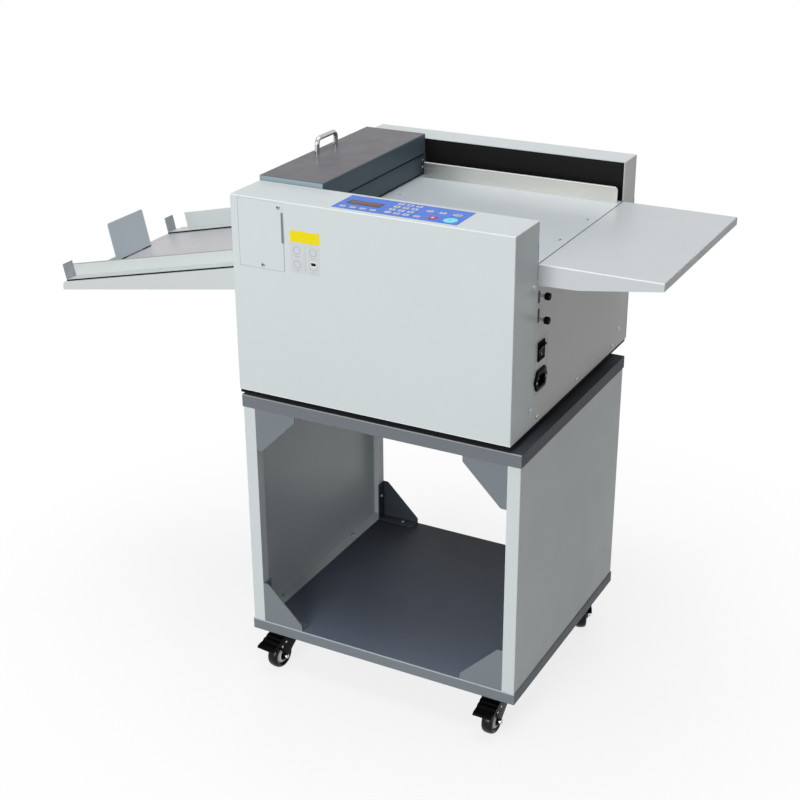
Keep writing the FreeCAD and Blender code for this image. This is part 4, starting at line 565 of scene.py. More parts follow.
MACHINE = powder_coat("machine_powder", ("#ced5d6", "#d1d8d9"))
# The front cover's top and foot folds in paler tints: painted highlights.
FRONT_COVER = powder_coat("front_cover_powder", ("#ced5d6", "#d1d8d9"), faces=(
    painted_fold_highlight("front_cover", TOP_FOLD, "#dde3e3"),
    painted_fold_highlight("front_cover", FOOT_FOLD, "#fafcfb")))
# A lighter, warmer copy of the machine paint on the right end panel: painted light.
LIT_END_PANEL = powder_coat("end_panel_powder", ("#d7d6d5", "#dad9d8"))
# The rear gussets, beyond a level along Y, in a darker tint: painted shade.
GUSSET = powder_coat("gusset_powder", ("#798086", "#7d848a"), 0.4, 0.15, (
    (BACKWARD, REAR_GUSSET_SHADE_LEVEL, ("#3f454b", "#43494f"), SHARP),))
# The stand top's front face lighter and its top darker than its sides: lit and shaded copies of one paint,
# painted light and shade, with a painted highlight along its top fold.
STAND_TOP = powder_coat("stand_top_powder", ("#64676c", "#686c70"), 0.42, 0.03, (
    face("stand_top_plate", FORWARD, ("#757b80", "#797f84")),
    face("stand_top_plate", UPWARD, ("#4b4f54", "#505459")),
    painted_fold_highlight("stand_top_plate", TOP_FOLD, "#a5abb0")))
SHELF = shelf_coat_with_painted_shade()
# The lid's front face lighter and bluer and its top warmer than its sides: painted light and painted
# reflection on copies of one paint.
LID = powder_coat("lid_powder", ("#515e68", "#54616b"), 0.36, 0.12, (
    face("head_cover", FORWARD, ("#8a9ca3", "#8ea0a7")),
    face("head_cover", UPWARD, ("#5d5b60", "#5f5d62"))))
TABLE = powder_coat("table_powder", ("#c7cfd4", "#cad2d7"), 0.34)
# The extension's top fold in a paler tint: a painted highlight.
EXTENSION = powder_coat("extension_powder", ("#c8cdd0", "#cbd0d3"), faces=(
    painted_fold_highlight("extension_table", TOP_FOLD, "#e5e9eb"),))
TRAY = powder_coat("tray_powder", ("#ccd1d1", "#d0d5d5"), 0.4, 0.15, (
    (OFF_DECK, DECK_LEVEL - SKIN, ("#c4c4c9", "#c8c8cd"), SHARP),))
# The front guide's upper edge in a darker tint: painted shade on the shadowed side of its fold.
GUIDE_FRONT = guide_coat("front_guide_powder", "exit_guide_front", ("#a5a3a0", "#a9a7a4"))
GUIDE_REAR = guide_coat("rear_guide_powder", "exit_guide_rear", ("#cbd1d1", "#cfd5d5"))
STOP = stop_coat()
BLACK_PAINT = powder_coat("black_powder", ("#0f0f10", "#131314"), 0.45, 0.12)
# A black base tray, which also stands in for the shade in the gap under the body: partly painted shade.
PLINTH = powder_coat("plinth_powder", ("#0e0f12", "#121316"), 0.5, 0.05)
STAINLESS = brushed("brushed_stainless", *box("side_fence"))
CHROME = metal("polished_chrome", "#bfc1c4", "#b6b8bc", 0.07, None, 25.0, 0.000004)
ZINC = metal("zinc_plate", "#c3c6c8", "#bbbec1", 0.34, None, 90.0, 0.000003)
STEEL = metal("ground_steel", "#a9acb0", "#9fa3a8", 0.3, (300.0, 6.0, 300.0), 4.0, 0.000003)
BRONZE = metal("sintered_bronze", "#b98d53", "#93693a", 0.45, None, 500.0)
SUPPLY = metal("supply_case", "#b9bcbc", "#a3a6a6", 0.4, None, 120.0)
NICKEL = metal("screw_nickel", "#b9b9b8", "#9fa0a0", 0.3, None, 200.0)
BLACK_PLASTIC = plastic("black_plastic", "#0f0f11", "#0a0a0b", 0.3, 0.016)
GLOSS_BLACK = plastic("gloss_black", "#0b0b0c", "#060607", 0.24, 0.04, 0.00001, 300.0)
TYRE = plastic("black_tyre", "#0f0f10", "#09090a", 0.24, 0.2, 0.000008, 250.0)
HUB_WHITE = plastic("hub_white", "#efefec", "#e4e4e0", 0.3)
BOARD = plastic("board_green", "#2f6b45", "#245a38", 0.35)
FOOT = rubber("foot_rubber", "#29292a", "#19191a")
BELT = rubber("belt_rubber", "#232325", "#161617", 0.6)
BLUE = printed("overlay_blue", "#4a7bdc", "#4574d6", 0.32)
KEY = printed("key_grey", "#c9cbd0", "#bfc2c8", 0.35)
INK = printed("dark_ink", "#3a3c44", "#2c2e35", 0.45)
WHITE_INK = printed("white_ink", "#f2f3f3", "#e7e9e9", 0.4)
CRIMSON = printed("stop_crimson", "#ba164a", "#ac1242", 0.32)
CYAN = printed("start_cyan", "#84ecf7", "#76e2ef", 0.32)
SCREEN = screen("display_cells", (BODY_LEFT, BODY_FRONT, BODY_TOP))
YELLOW = printed("label_yellow", "#efdc22", "#ead61c", 0.42)
STICKER = printed("label_pale", "#ced3d6", "#cacfd2", 0.42)
FAINT = printed("faint_line", "#adb3b5", "#a5abad", 0.5)
DIM = printed("dim_line", "#8c8f91", "#86898b", 0.5)
SEAM = printed("seam_shadow", "#4a4e52", "#3f4347", 0.6)
PITCH = printed("pitch_black", "#141416", "#0d0d0f", 0.6)

NODE_FINISHES = {
    FRONT_COVER: "front_cover",
    MACHINE: "rear_cover exit_end_panel access_door stand_left_panel stand_right_panel",
    LIT_END_PANEL: "infeed_end_panel",
    GUSSET: "stand_gussets",
    STAND_TOP: "stand_top_plate",
    SHELF: "stand_shelf",
    LID: "head_cover head_infeed_panel",
    TABLE: "feed_table",
    EXTENSION: "extension_table",
    TRAY: "exit_tray",
    GUIDE_FRONT: "exit_guide_front",
    GUIDE_REAR: "exit_guide_rear",
    STOP: "exit_stop",
    BLACK_PAINT: "rear_inner_panel drive_motors caster_plates",
    PLINTH: "base_tray",
    STAINLESS: "side_fence",
    ZINC: "front_side_frame rear_side_frame lid_hinge_pins",
    STEEL: "crease_die crease_beam cam_shaft",
    BRONZE: "roller_bushings",
    BELT: "feed_belt",
    BOARD: "control_board",
    SUPPLY: "power_supply",
}


def dress_nodes():
    """Gives each plain sub-part its finish, and each roller one about its own axle."""
    finishes = dict(NODE_FINISHES)
    for name in ("lower_infeed_roller", "upper_infeed_roller", "lower_exit_roller", "upper_exit_roller"):
        low, high = box(name)
        axle = ((low[0] + high[0])/2, (low[2] + high[2])/2)
        finishes[sleeved_roller(f"{name}_sleeves", axle, SHAFT_RADIUS, THROAT_FRONT)] = name
    for finish, names in finishes.items():
        for name in names.split():
            materials = frame["nodes"][name].data.materials
            materials.clear()
            materials.append(finish)


# ---- castors

def mirrored(half):
    """A profile's half below its middle plane and the same above it."""
    return (*half, *((radius, -height) for radius, height in reversed(half)))


TYRE_PROFILE = mirrored(((15.2, -4.5), (15.8, -6.0), (16.4, -7.8), (17.8, -9.3), (19.6, -9.9), (21.4, -9.2),
                         (22.8, -7.6), (23.6, -5.2), (24, -2.4)))
HUB_RING = mirrored(((3.2, -7.2), (8.7, -7.2), (8.9, -9.8), (9.4, -10.3), (10.6, -10.2), (13.2, -8.6),
                     (15.9, -5.8)))
HUB_DISC = ((3.1, 7.3), (3.1, 9.3), (6.8, 9.3), (8.2, 8.9), (8.8, 8.2), (8.8, 7.3))
RACE = ((5.1, 60), (19.2, 60), (19.9, 60.8), (20, 62.5), (19.4, 66), (17.6, 67.6), (16.4, 68), (5.1, 68))
NUT = ((0.1, 0), (4.3, 0), (4.3, 2.4), (4, 3.8), (3, 4.8), (1.4, 5), (0.1, 5))
RIVET = ((0.1, 0), (2.2, 0), (2.2, 2.2), (1.8, 3.1), (1.0, 3.5), (0.1, 3.55))
PIN = mirrored(((0.1, -13.6), (3, -13.6)))
AXLE, PEDAL_PIVOT, CHEEK_RIVET, FORK_TOP = 24.0, 54.0, 47.0, 60.0
CHEEK_INNER, CHEEK_OUTER = 10.9, 13.5
PEDAL_SIDE = ((-21.8, 68.6), (-26.5, 66.6), (-28.4, 64.2), (-33.5, 63.6), (-36.6, 60.6), (-42.5, 60.2),
              (-45.8, 56.8), (-53.5, 55.6), (-58.8, 54.4), (-60.5, 52.4), (-60.2, 49.2), (-57.6, 49.4),
              (-56.6, 51.6), (-45.6, 53.0), (-37.5, 56.4), (-32.5, 59.6), (-27.6, 61.4), (-24.4, 64.4))
PEDAL_ARM = ((-46, 52.4), (-24, 49.6), (-17.8, 50.6), (-17.8, 57.6), (-24, 63.5), (-30, 62), (-38, 58))


def castor_frame(name):
    """Where a castor's swivel axis meets the floor, its axes along the axle, back and up, and its trail."""
    swivel, wheel = JOINTS[name + "_swivel_turn"], JOINTS[name + "_wheel_spin"]
    along = np.array(wheel["axis"], float)
    up = np.array(UPWARD)
    origin = np.array(swivel["pos_m"], float)/MM*(1, 1, 0)
    trail = np.linalg.norm(np.array(wheel["pos_m"])[:2] - np.array(swivel["pos_m"])[:2])/MM
    return origin, np.array((along, np.cross(up, along), up)), trail


def across_axle(axes, sign=1):
    """Axes for a shape that is drawn in the plane across a castor's axle and faces one end of it."""
    return np.array((sign*axes[1], axes[2], sign*axes[0]))


def castor_wheel(name, origin, axes, trail):
    """Tyre, ring and discs turned about the axle."""
    hub = origin + axes.T @ (0, -trail, AXLE)
    parts = [(turned(TYRE_PROFILE, 72, True), TYRE, hub, across_axle(axes)),
             (turned(HUB_RING, 64, True), HUB_WHITE, hub, across_axle(axes))]
    parts += [(turned(HUB_DISC, 64, True), GLOSS_BLACK, hub, across_axle(axes, sign)) for sign in (1, -1)]
    piece(f"{name}_wheel", f"{name}_wheel", parts, [f"caster_{name}_wheel"])


def fork_cheek(trail, sign):
    """One cheek of the fork: a plate across the axle, its outer edge the rounder one."""
    corners = ((18, FORK_TOP), (-trail - 11.5, FORK_TOP), (-trail - 12, 43.5), (-trail - 5.6, 33),
               (-trail - 5.4, 19.5), (-trail - 2.8, 17.2), (-trail + 3.6, 17.2), (-trail + 7.4, 21), (18, 48))
    loop = rounded(corners, (1.2, 1.2, 3, 5, 2, 1.5, 2, 3, 6))
    if sign > 0:
        return slab(loop, CHEEK_INNER, CHEEK_OUTER, 0.7, 0.2)
    return slab(loop, -CHEEK_OUTER, -CHEEK_INNER, 0.2, 0.7)


def castor_fork(name, origin, axes, trail):
    """Cheeks, crown, races, axle bolt with domed nuts and the pedal's rivets."""
    side = across_axle(axes)
    crown = rounded(((-13.4, -26), (13.4, -26), (13.4, 18), (-13.4, 18)), 1.5)
    low_rivet = [(radius, height*0.3) for radius, height in RIVET]
    parts = [(fork_cheek(trail, sign), GLOSS_BLACK, origin, side) for sign in (-1, 1)]
    parts += [(slab(crown, FORK_TOP - 2.6, FORK_TOP + 0.05, 0.4), GLOSS_BLACK, origin, axes),
              (turned(RACE, 64, True), GLOSS_BLACK, origin, axes),
              (turned(PIN, 24), ZINC, origin + axes.T @ (0, -trail, AXLE), side)]
    for sign in (-1, 1):
        for (y, z), out, shape, count, finish in (
                ((-trail, AXLE), CHEEK_OUTER, NUT, 32, CHROME),
                ((-trail, PEDAL_PIVOT), CHEEK_OUTER, RIVET, 32, ZINC),
                ((-trail - 8, CHEEK_RIVET), CHEEK_OUTER - 0.1, low_rivet, 24, ZINC)):
            seat = origin + axes.T @ (sign*out, y, z)
            parts.append((turned(shape, count), finish, seat, across_axle(axes, sign)))
    piece(f"{name}_fork", f"{name}_swivel", parts, [f"caster_{name}_fork"])


def castor_pedal(name, origin, axes, trail):
    """A hood that steps down to a rolled tip, with an arm along each side of the fork."""
    side = across_axle(axes)
    hood = rounded(PEDAL_SIDE, 0.9, 3)[::-1]
    arm = rounded(PEDAL_ARM, (1, 2.5, 3, 3, 2, 1, 1))
    parts = [(slab(hood, -17, 17, 0.6, 0.6), GLOSS_BLACK, origin, side)]
    parts += [(slab(arm, low, low + 2.5, 0.4, 0.4), GLOSS_BLACK, origin, side) for low in (13.8, -16.3)]
    piece(f"{name}_pedal", f"{name}_brake", parts, [f"caster_{name}_pedal"])


def castors():
    for name in ("fl", "fr", "rl", "rr"):
        spot = castor_frame(name)
        castor_wheel(name, *spot)
        castor_fork(name, *spot)
        castor_pedal(name, *spot)


# ---- covers

def pan_heads(name, node, middle, sign):
    """Cross heads where a sub-part has plain ones. A head faces along the axis that it is thinnest on:
    away from the middle with sign 1, towards it with sign -1."""
    parts = []
    for low, high in islands(node):
        centre, span = (low + high)/2, high - low
        axis = int(span.argmin())
        onward = sign*(centre[axis] - middle[axis]) > 0
        origin = centre.copy()
        origin[axis] = low[axis] if onward else high[axis]
        radius, height = span.max()/2, span.min()
        # A pitch-black disc down in each cross: painted shade in the recess.
        recess_shade = slab(circle(radius*0.56, 24), height*0.3, height*0.5)
        parts += [(cross_head(radius, height), NICKEL, origin, FACING[axis][onward]),
                  (recess_shade, PITCH, origin, FACING[axis][onward])]
    piece(name, "machine", parts, [node])


def machine_feet():
    """Rubber feet with a waist and a chamfered sole."""
    parts = []
    for low, high in islands("machine_feet"):
        (x, y, _), radius, height = (low + high)/2, (high - low)[0]/2, (high - low)[2]
        profile = ((0.1, 0), (radius - 1.2, 0), (radius, 1.2), (radius - 0.6, 4), (radius - 1.8, height - 1),
                   (radius - 1.8, height), (0.1, height))
        parts.append((turned(profile), FOOT, (x, y, low[2])))
    piece("machine_feet_turned", "machine", parts, ["machine_feet"])


def lid_handle():
    """A round bar swept up one leg, round a quarter bend, along the grip and down again."""
    low, high = box("lid_handle")
    bar, bend = (high[0] - low[0])/2, 9.0
    x, left, right, top = (low[0] + high[0])/2, low[1] + bar, high[1] - bar, high[2] - bar
    turn = np.linspace(0, math.pi/2, 9)
    first = np.column_stack([left + bend*(1 - np.cos(turn)), top - bend*(1 - np.sin(turn))])
    last = np.column_stack([right - bend*(1 - np.sin(turn)), top - bend*(1 - np.cos(turn))])
    flat = np.vstack([(left, low[2]), first, last, (right, low[2])])
    path = np.column_stack([np.full(len(flat), x), flat])
    piece("handle_bow", "lid", [(swept(path, circle(bar, 24), (1, 0, 0)), CHROME)], ["lid_handle"])


LABEL_LEFT, LABEL_RIGHT = -137.5, -85.5
STICKER_BOTTOM, BAND_BOTTOM, BAND_TOP = 749.5, 798.8, 816.6
RINGS = ((-126.0, 785.9), (-97.4, 785.9), (-126.0, 763.5))
WINDOW = (-97.4, 763.5)


def front_labels():
    """A plain yellow band over a pale sticker with outline rings, a divider and a small dark patch."""
    parts = []

    def mark(surface, finish, x, z):
        parts.append((surface, finish, (x, BODY_FRONT, z), FRONT))

    def plate(left, right, bottom, top, finish, thickness=PRINT):
        loop = oblong(right - left, top - bottom, min(0.8, (right - left)/3))
        mark(slab(loop, 0, thickness), finish, (left + right)/2, (bottom + top)/2)

    plate(LABEL_LEFT, LABEL_RIGHT, STICKER_BOTTOM, BAND_BOTTOM, STICKER)
    plate(LABEL_LEFT, LABEL_RIGHT, BAND_BOTTOM, BAND_TOP, YELLOW)
    for x, z in RINGS:
        mark(hoop(circle(6.4), circle(5.5), PRINT, 2*PRINT), FAINT, x, z)
    x, z = WINDOW
    mark(hoop(oblong(13, 11, 2.5), oblong(11.6, 9.6, 2), PRINT, 2*PRINT), FAINT, x, z)
    mark(slab(oblong(10.5, 7.5, 1), PRINT, 1.5*PRINT), WHITE_INK, x, z + 3.8)
    mark(slab(oblong(8.2, 4.8, 1), PRINT, 2*PRINT), PITCH, x, z + 3.8)
    middle = (LABEL_LEFT + LABEL_RIGHT)/2
    plate(middle - 0.2, middle + 0.2, 755, 795, FAINT, 2*PRINT)
    for x, z in (*RINGS, WINDOW):
        mark(slab(oblong(9, 0.8, 0.3), PRINT, 2*PRINT), FAINT, x, z - 9.5)
    piece("front_label", "machine", parts)


# ---- controls

WINDOW_LEFT, WINDOW_RIGHT, WINDOW_FRONT, WINDOW_BACK = 13, 67, 25, 42
MENU_KEYS = [(14 + 17*column, 10) for column in range(4)]
NUMBER_KEYS = [(89 + 14.9*column, 11.5 + 14.7*row) for row in range(4) for column in range(3)]
NUMBERS = ("-", "0", "+", "1", "2", "3", "4", "5", "6", "7", "8", "9")
CLEAR_KEY = (136.5, 11.5)
SET_KEYS = ((143, 42.5), (164, 42.5))
MODE_KEY = (187.8, 42.5)
STOP_KEY, START_KEY = (160.5, 15.5), (189, 15.5)
CAPTIONS = ((62, 59.5), (76, 59.5), (112, 60.5))
FILM, KEY_RISE, MARK_RISE = 0.5, 0.35, 0.42


def control_panel():
    """The overlay film with its window, domed keys and their print."""
    low, high = box("control_overlay")
    length, depth = high[0] - low[0], high[1] - low[1]
    middle = ((WINDOW_LEFT + WINDOW_RIGHT)/2, (WINDOW_FRONT + WINDOW_BACK)/2)
    wide, tall = WINDOW_RIGHT - WINDOW_LEFT, WINDOW_BACK - WINDOW_FRONT
    film, window = oblong(length, depth, 0.6) + (length/2, depth/2), oblong(wide, tall, 0.6)
    parts = [(hoop(film, window + middle, 0, FILM), BLUE, (low[0], low[1], BODY_TOP))]

    def spot(place, height=0.0):
        return (low[0] + place[0], low[1] + place[1], BODY_TOP + FILM + height)

    def key(place, loop, finish=KEY):
        parts.append((pillow(loop, KEY_RISE*0.8, KEY_RISE*0.7, KEY_RISE*0.35), finish, spot(place)))

    def mark(place, surface, finish=INK, rise=MARK_RISE):
        parts.append((surface, finish, spot(place, rise)))

    mark(middle, hoop(oblong(wide + 2.4, tall + 2.4, 1), window, 0, PRINT), rise=0.0)
    for number, place in enumerate(MENU_KEYS):
        key(place, oblong(10.6, 7.4, 3.2))
        tip = 1.3 if number % 2 else -1.3
        arrow = np.array(((-tip, -1.5), (tip, 0), (-tip, 1.5)))
        mark(place, slab(arrow if tip > 0 else arrow[::-1], 0, PRINT))
    for number, place in zip(NUMBERS, NUMBER_KEYS):
        key(place, oblong(10.5, 8.5, 2.2))
        mark(place, glyph(number, 7.5))
    key(CLEAR_KEY, oblong(11, 8.5, 3.8))
    mark(CLEAR_KEY, glyph("C", 6))
    for place in SET_KEYS:
        key(place, oblong(11, 8.5, 2))
        mark(place, slab(oblong(5.4, 1.1, 0.3), 0, PRINT))
    mark(SET_KEYS[1], slab(oblong(1.1, 5, 0.3), 0, 1.2*PRINT))
    key(MODE_KEY, oblong(14.5, 11, 5))
    mark(MODE_KEY, hoop(oblong(9, 4.6, 1), oblong(7.6, 3.2, 0.6), 0, PRINT))
    key(STOP_KEY, circle(6.9), CRIMSON)
    mark(STOP_KEY, slab(oblong(4.4, 4.4, 1.4), 0, PRINT), WHITE_INK)
    key(START_KEY, circle(10.8), CYAN)
    bar = np.array(((-2.4, -2.8), (3.2, 0), (-2.4, 2.8)))
    mark(START_KEY, hoop(rounded(bar, 0.4), rounded(bar*0.72, 0.2), 0, PRINT), BLUE)
    for place in CAPTIONS:
        mark(place, slab(oblong(3.6, 1.2, 0.5), 0, PRINT), rise=0.0)
    piece("panel_overlay", "machine", parts, ["control_overlay"])

    pane = slab(oblong(wide - 0.1, tall - 0.1, 0.5), 0, 6.46, 0.1)
    origin = (low[0] + middle[0], low[1] + middle[1], BODY_TOP - 6)
    piece("display_cells", "machine", [(pane, SCREEN, origin)], ["display_window"])


# Height along the knob, share of its radius and share of the flutes' depth.
KNOB_SIDE = ((0, 0.62, 0), (0, 0.84, 0.3), (0.5, 0.95, 0.8), (1.4, 1, 1), (4, 1, 1), (6.2, 1, 1),
             (7.2, 0.94, 0.8), (7.75, 0.82, 0.4), (8, 0.6, 0), (7.8, 0.42, 0), (7.7, 0.02, 0))
KNOB_LENGTH, KNOB_RADIUS, KNOB_FLUTES = 8.0, 5.8, 12
KNOB_NECK = ((0.1, -10), (2, -10), (2, -3.2), (3.1, -3.0), (3.1, -0.4), (3.4, 0), (0.1, 0))


def fluted_knob(name):
    """A knob whose radius dips in rounded flutes, on a bright stem that its slot guides."""
    low, high = box(f"{name}_clamp_knob")
    _, y, z = (low + high)/2
    start = high[0] - KNOB_LENGTH
    ring = circle(1.0, 96)
    angle = np.arange(len(ring))*2*math.pi/len(ring)
    flute = -0.085*(0.5 + 0.5*np.cos(KNOB_FLUTES*angle))**1.5
    rows = stacked(*((ring*(KNOB_RADIUS*share*(1 + depth*flute))[:, None], height)
                     for height, share, depth in KNOB_SIDE))
    foot = low[0] - start
    washer = ((0.1, foot), (4.4, foot), (4.4, foot + 1.5), (2, foot + 1.5), (2, -9.8), (0.1, -9.8))
    parts = [(surface, finish, (start, y, z), RIGHT) for surface, finish in (
        (skin(rows), BLACK_PLASTIC), (turned(KNOB_NECK, 32), CHROME), (turned(washer, 32), ZINC))]
    piece(f"{name}_knob_fluted", f"{name}_knob", parts, [f"{name}_clamp_knob"])


BEZEL_WALL, BEZEL_DEPTH, SADDLE_DIP, ROCKER_MARK = 2.2, 22, 3.2, 5.4


def right_face_middle(node):
    """The middle of a sub-part on the machine's right face, and its width and height there."""
    low, high = box(node)
    return np.array((BODY_RIGHT, *((low + high)/2)[1:])), *(high - low)[1:]


def rocker_switch():
    """A bezel frame and a rocker whose face is a shallow saddle, with the two usual marks."""
    centre, width, height = right_face_middle("switch_housing")
    outer, inner = oblong(width, height, 1.4), oblong(width - 2*BEZEL_WALL, height - 2*BEZEL_WALL, 0.4)
    shell = inset(outer, 1.3)
    rows = stacked((outer, 0), (outer, 1.4), (inset(outer, 0.25), 1.9), (inset(outer, 0.8), 2.2),
                   (inset(inner, -0.5), 2.2), (inner, 1.8), (inner, 2 - BEZEL_DEPTH),
                   (shell, 2 - BEZEL_DEPTH), (shell, 0))
    parts = [(surface, BLACK_PLASTIC, centre, RIGHT)
             for surface in (skin(rows, wrap=True), slab(shell, -BEZEL_DEPTH, 2 - BEZEL_DEPTH))]
    piece("switch_bezel", "machine", parts, ["switch_housing"])

    tilt = math.radians(-9)
    half, nose, across, valley = 12.0, 9.6, width - 2*BEZEL_WALL - 0.9, 4.6 - SADDLE_DIP
    up = np.linspace(-nose, nose, 17)
    face_line = np.column_stack([up, valley + SADDLE_DIP*(up/nose)**2])
    belly = ((half - 0.9, 2.2), (half, 0), (half*0.45, -5.2), (-half*0.45, -5.2), (-half, 0),
             (0.9 - half, 2.2))
    turn = np.array(((math.cos(tilt), -math.sin(tilt)), (math.sin(tilt), math.cos(tilt))))
    side = np.vstack([face_line, belly]) @ turn
    upright = np.array(((0, 0, 1), (1, 0, 0), (0, 1, 0)), float)
    parts = [(slab(side[::-1], -across/2, across/2, 0.35, 0.35), BLACK_PLASTIC, centre, upright)]
    for sign, surface in ((1, slab(oblong(0.9, 3.6, 0.3), 0, 0.5)),
                          (-1, hoop(circle(1.9), circle(1.3), 0, 0.5))):
        slope = math.atan(2*SADDLE_DIP*ROCKER_MARK/nose**2)*sign - tilt
        rise, run = math.cos(slope), math.sin(slope)
        lean = np.array(((0, 1, 0), (run, 0, rise), (rise, 0, -run)))
        z, x = np.array((sign*ROCKER_MARK, valley + SADDLE_DIP*(ROCKER_MARK/nose)**2 - 0.3)) @ turn
        parts.append((surface, WHITE_INK, centre + (x, 0, z), lean))
    piece("rocker_saddle", "rocker", parts, ["switch_rocker"])


INLET_FLAT, INLET_DEPTH, SOCKET_DEPTH, INLET_SCREW = 31.5, 26, 17, 17.6


def power_inlet():
    """A six-sided flange round a recessed socket with cut corners, two screws and three blades."""
    centre, wide, tall = right_face_middle("power_inlet")
    flat, half = INLET_FLAT/2, tall/2
    flange = rounded(((-flat, 3 - half), (flat, 3 - half), (wide/2, 1), (flat, half), (-flat, half),
                      (-wide/2, 1)), (3.2, 3.2, 4, 3.2, 3.2, 4))
    w, t, cut = 12.0, 8.5, 4.5
    mouth = rounded(((-w, -t), (w, -t), (w, t - cut), (w - cut, t), (cut - w, t), (-w, t - cut)), 0.8)
    shell = inset(mouth, -1.8)
    edge = flange[np.linspace(0, len(flange), len(mouth), endpoint=False).astype(int)]
    rows = stacked((edge, 0), (edge, 2.0), (inset(edge, 0.5), 2.7), (inset(edge, 1.2), 3.0),
                   (inset(mouth, -1.6), 3.0), (inset(mouth, -1.2), 2.5), (inset(mouth, -0.8), 3.0),
                   (mouth, 2.6), (mouth, -SOCKET_DEPTH), (shell, -SOCKET_DEPTH), (shell, 0))
    parts = [(surface, BLACK_PLASTIC, centre, RIGHT)
             for surface in (skin(rows, wrap=True), slab(shell, -INLET_DEPTH, -SOCKET_DEPTH))]
    parts += [(slab(oblong(2, 4, 0.6) + blade, -SOCKET_DEPTH, -4, 0.5), NICKEL, centre, RIGHT)
              for blade in ((-7, -2), (0, 2), (7, -2))]
    parts += [(cross_head(1.7, 1.0), NICKEL, centre + (2.3, side*INLET_SCREW, 0), RIGHT) for side in (-1, 1)]
    piece("inlet_socket", "machine", parts, ["power_inlet"])


# ---- seams

TABLE_MARK = (-112.9, 80.3)


def table_seam():
    """The shadow line where the extension butts against the table, and a small dark disc on the table."""
    (_, y0, _), (_, y1, _) = box("extension_table")
    line = slab(oblong(1.7, y1 - y0 - 1, 0.4), 0, PRINT)
    piece("table_seam", "machine", [
        (line, SEAM, (BODY_RIGHT + 0.1, (y0 + y1)/2, TABLE_TOP)),
        (slab(circle(1.7, 24), 0, PRINT), PITCH, (*TABLE_MARK, TABLE_TOP))])


def lid_seal():
    """A black foam seal in the slit under the lid, which also fills the slit with dark as painted shade, and
    a painted shadow of the slit on the panel below.
    """
    low, high = box("head_infeed_panel")
    length, middle = high[1] - low[1], (low[1] + high[1])/2
    seal = slab(oblong(11, length - 1, 0.8), 0, LID_BOTTOM - high[2] - 0.4, 0.5)
    gap = slab(oblong(length - 0.6, 1.5, 0.3), 0, PRINT)
    piece("lid_seal", "machine", [(seal, BELT, (high[0] - 6.5, middle, high[2])),
                                  (gap, PITCH, (high[0], middle, high[2] - 0.8), RIGHT)])


SLOT_WIDTH, SLOT_LENGTH, SLOT_DROP = 3.2, 48, 15


def door_rebate():
    """The folded lip behind the door's finger slot in a darker grey and a strip beside the slot, both painted
    shade, and the lines of its gap.
    """
    low, high = box("access_door")
    wide, tall = high[0] - low[0], high[2] - low[2]
    middle, slot_foot = (low + high)/2, high[2] - SLOT_DROP - SLOT_LENGTH
    slot_middle, below = high[2] - SLOT_DROP - SLOT_LENGTH/2, slot_foot - low[2]
    lip = slab(oblong(SLOT_WIDTH + 0.2, SLOT_LENGTH - 0.6, 0.5), -1.2, -0.6, 0.3)
    reach = SLOT_LENGTH/2
    shade = rounded(((-0.5, -reach), (0.9, -reach), (0.3, reach), (-0.5, reach)), 0.2)
    parts = [(surface, finish, (x, BODY_FRONT, z), FRONT) for surface, finish, x, z in (
        (lip, GUSSET, high[0] - SLOT_WIDTH/2 - 0.1, slot_middle),
        (slab(shade, 0, PRINT), GUSSET, high[0] + 0.9, slot_middle),
        (slab(oblong(0.8, below, 0.3), 0, PRINT), DIM, high[0] + 0.55, low[2] + below/2),
        (slab(oblong(wide - 8, 0.6, 0.25), 0, PRINT), FAINT, middle[0], low[2] - 0.5),
        (outline(oblong(wide + 0.9, tall + 0.9, 1), 0.42, -0.9, -0.25), MACHINE, middle[0], middle[2]))]
    piece("door_rebate", "machine", parts)


PLATE_FRONT, PLATE_BACK, PLATE_BOTTOM, PLATE_TOP = -145.5, -98.0, 585.5, 672.0
TOWER_SLOT, TOWER_SEAM, REAR_CORNER = 813, 784, 660


def entry_plate_seam():
    """Lines on the right face: round the plate that carries the switch and the inlet, with its small screw,
    at the towers' edges, and round the knobs' slots, and a strip of painted shade along the face's rear edge."""
    wide, tall = PLATE_BACK - PLATE_FRONT, PLATE_TOP - PLATE_BOTTOM
    y, z = (PLATE_FRONT + PLATE_BACK)/2, (PLATE_BOTTOM + PLATE_TOP)/2
    left = PLATE_FRONT + 3
    plate = rounded(((left, PLATE_BOTTOM), (PLATE_BACK, PLATE_BOTTOM), (PLATE_BACK, PLATE_TOP),
                     (left, PLATE_TOP)), 2)
    parts = [(outline(plate, 0.45, 0, PRINT), FAINT),
             (slab(oblong(0.8, tall - 6, 0.3) + (PLATE_BACK + 0.1, z), 0, 1.5*PRINT), DIM),
             (slab(oblong(wide - 8, 0.8, 0.3) + (y, PLATE_BOTTOM), 0, 1.5*PRINT), DIM),
             # A dark strip along the rear edge: painted shade.
             (slab(oblong(2.6, 250, 0.6) + (BODY_BACK - 1.5, REAR_CORNER), 0, PRINT), DIM),
             (slab(oblong(1.6, 27, 0.5) + (THROAT_FRONT - 1.0, TOWER_SLOT), 0, PRINT), SEAM),
             (slab(oblong(0.9, 30, 0.3) + (THROAT_FRONT - 0.5, TOWER_SEAM), 0, PRINT), DIM),
             (moved(cross_head(1.7, 0.8), (PLATE_BACK - 4, PLATE_TOP - 4.5, 0)), NICKEL)]
    for name in ("upper", "lower"):
        (_, y, z), *_ = right_face_middle(f"{name}_clamp_knob")
        rest, reach = JOINTS[f"{name}_knob_slide"]["range_m"]
        opening = oblong(6.4, (reach - rest)/MM + 8.4, 2.4) + (y, z + (rest + reach)/2/MM)
        parts.append((outline(opening, 1.5, 0, PRINT*2), PITCH))
    piece("entry_plate_seam", "machine", [(*part, (BODY_RIGHT, 0, 0), RIGHT) for part in parts])


# ---- stage

CAMERA_PLACE = (1.0234, -2.0583, 1.5049)
CAMERA_TURN = (29.0835, 24.4347, -0.756)
CAMERA_LENS, CAMERA_SHIFT = 67.42, (0.0314, 0.0088)


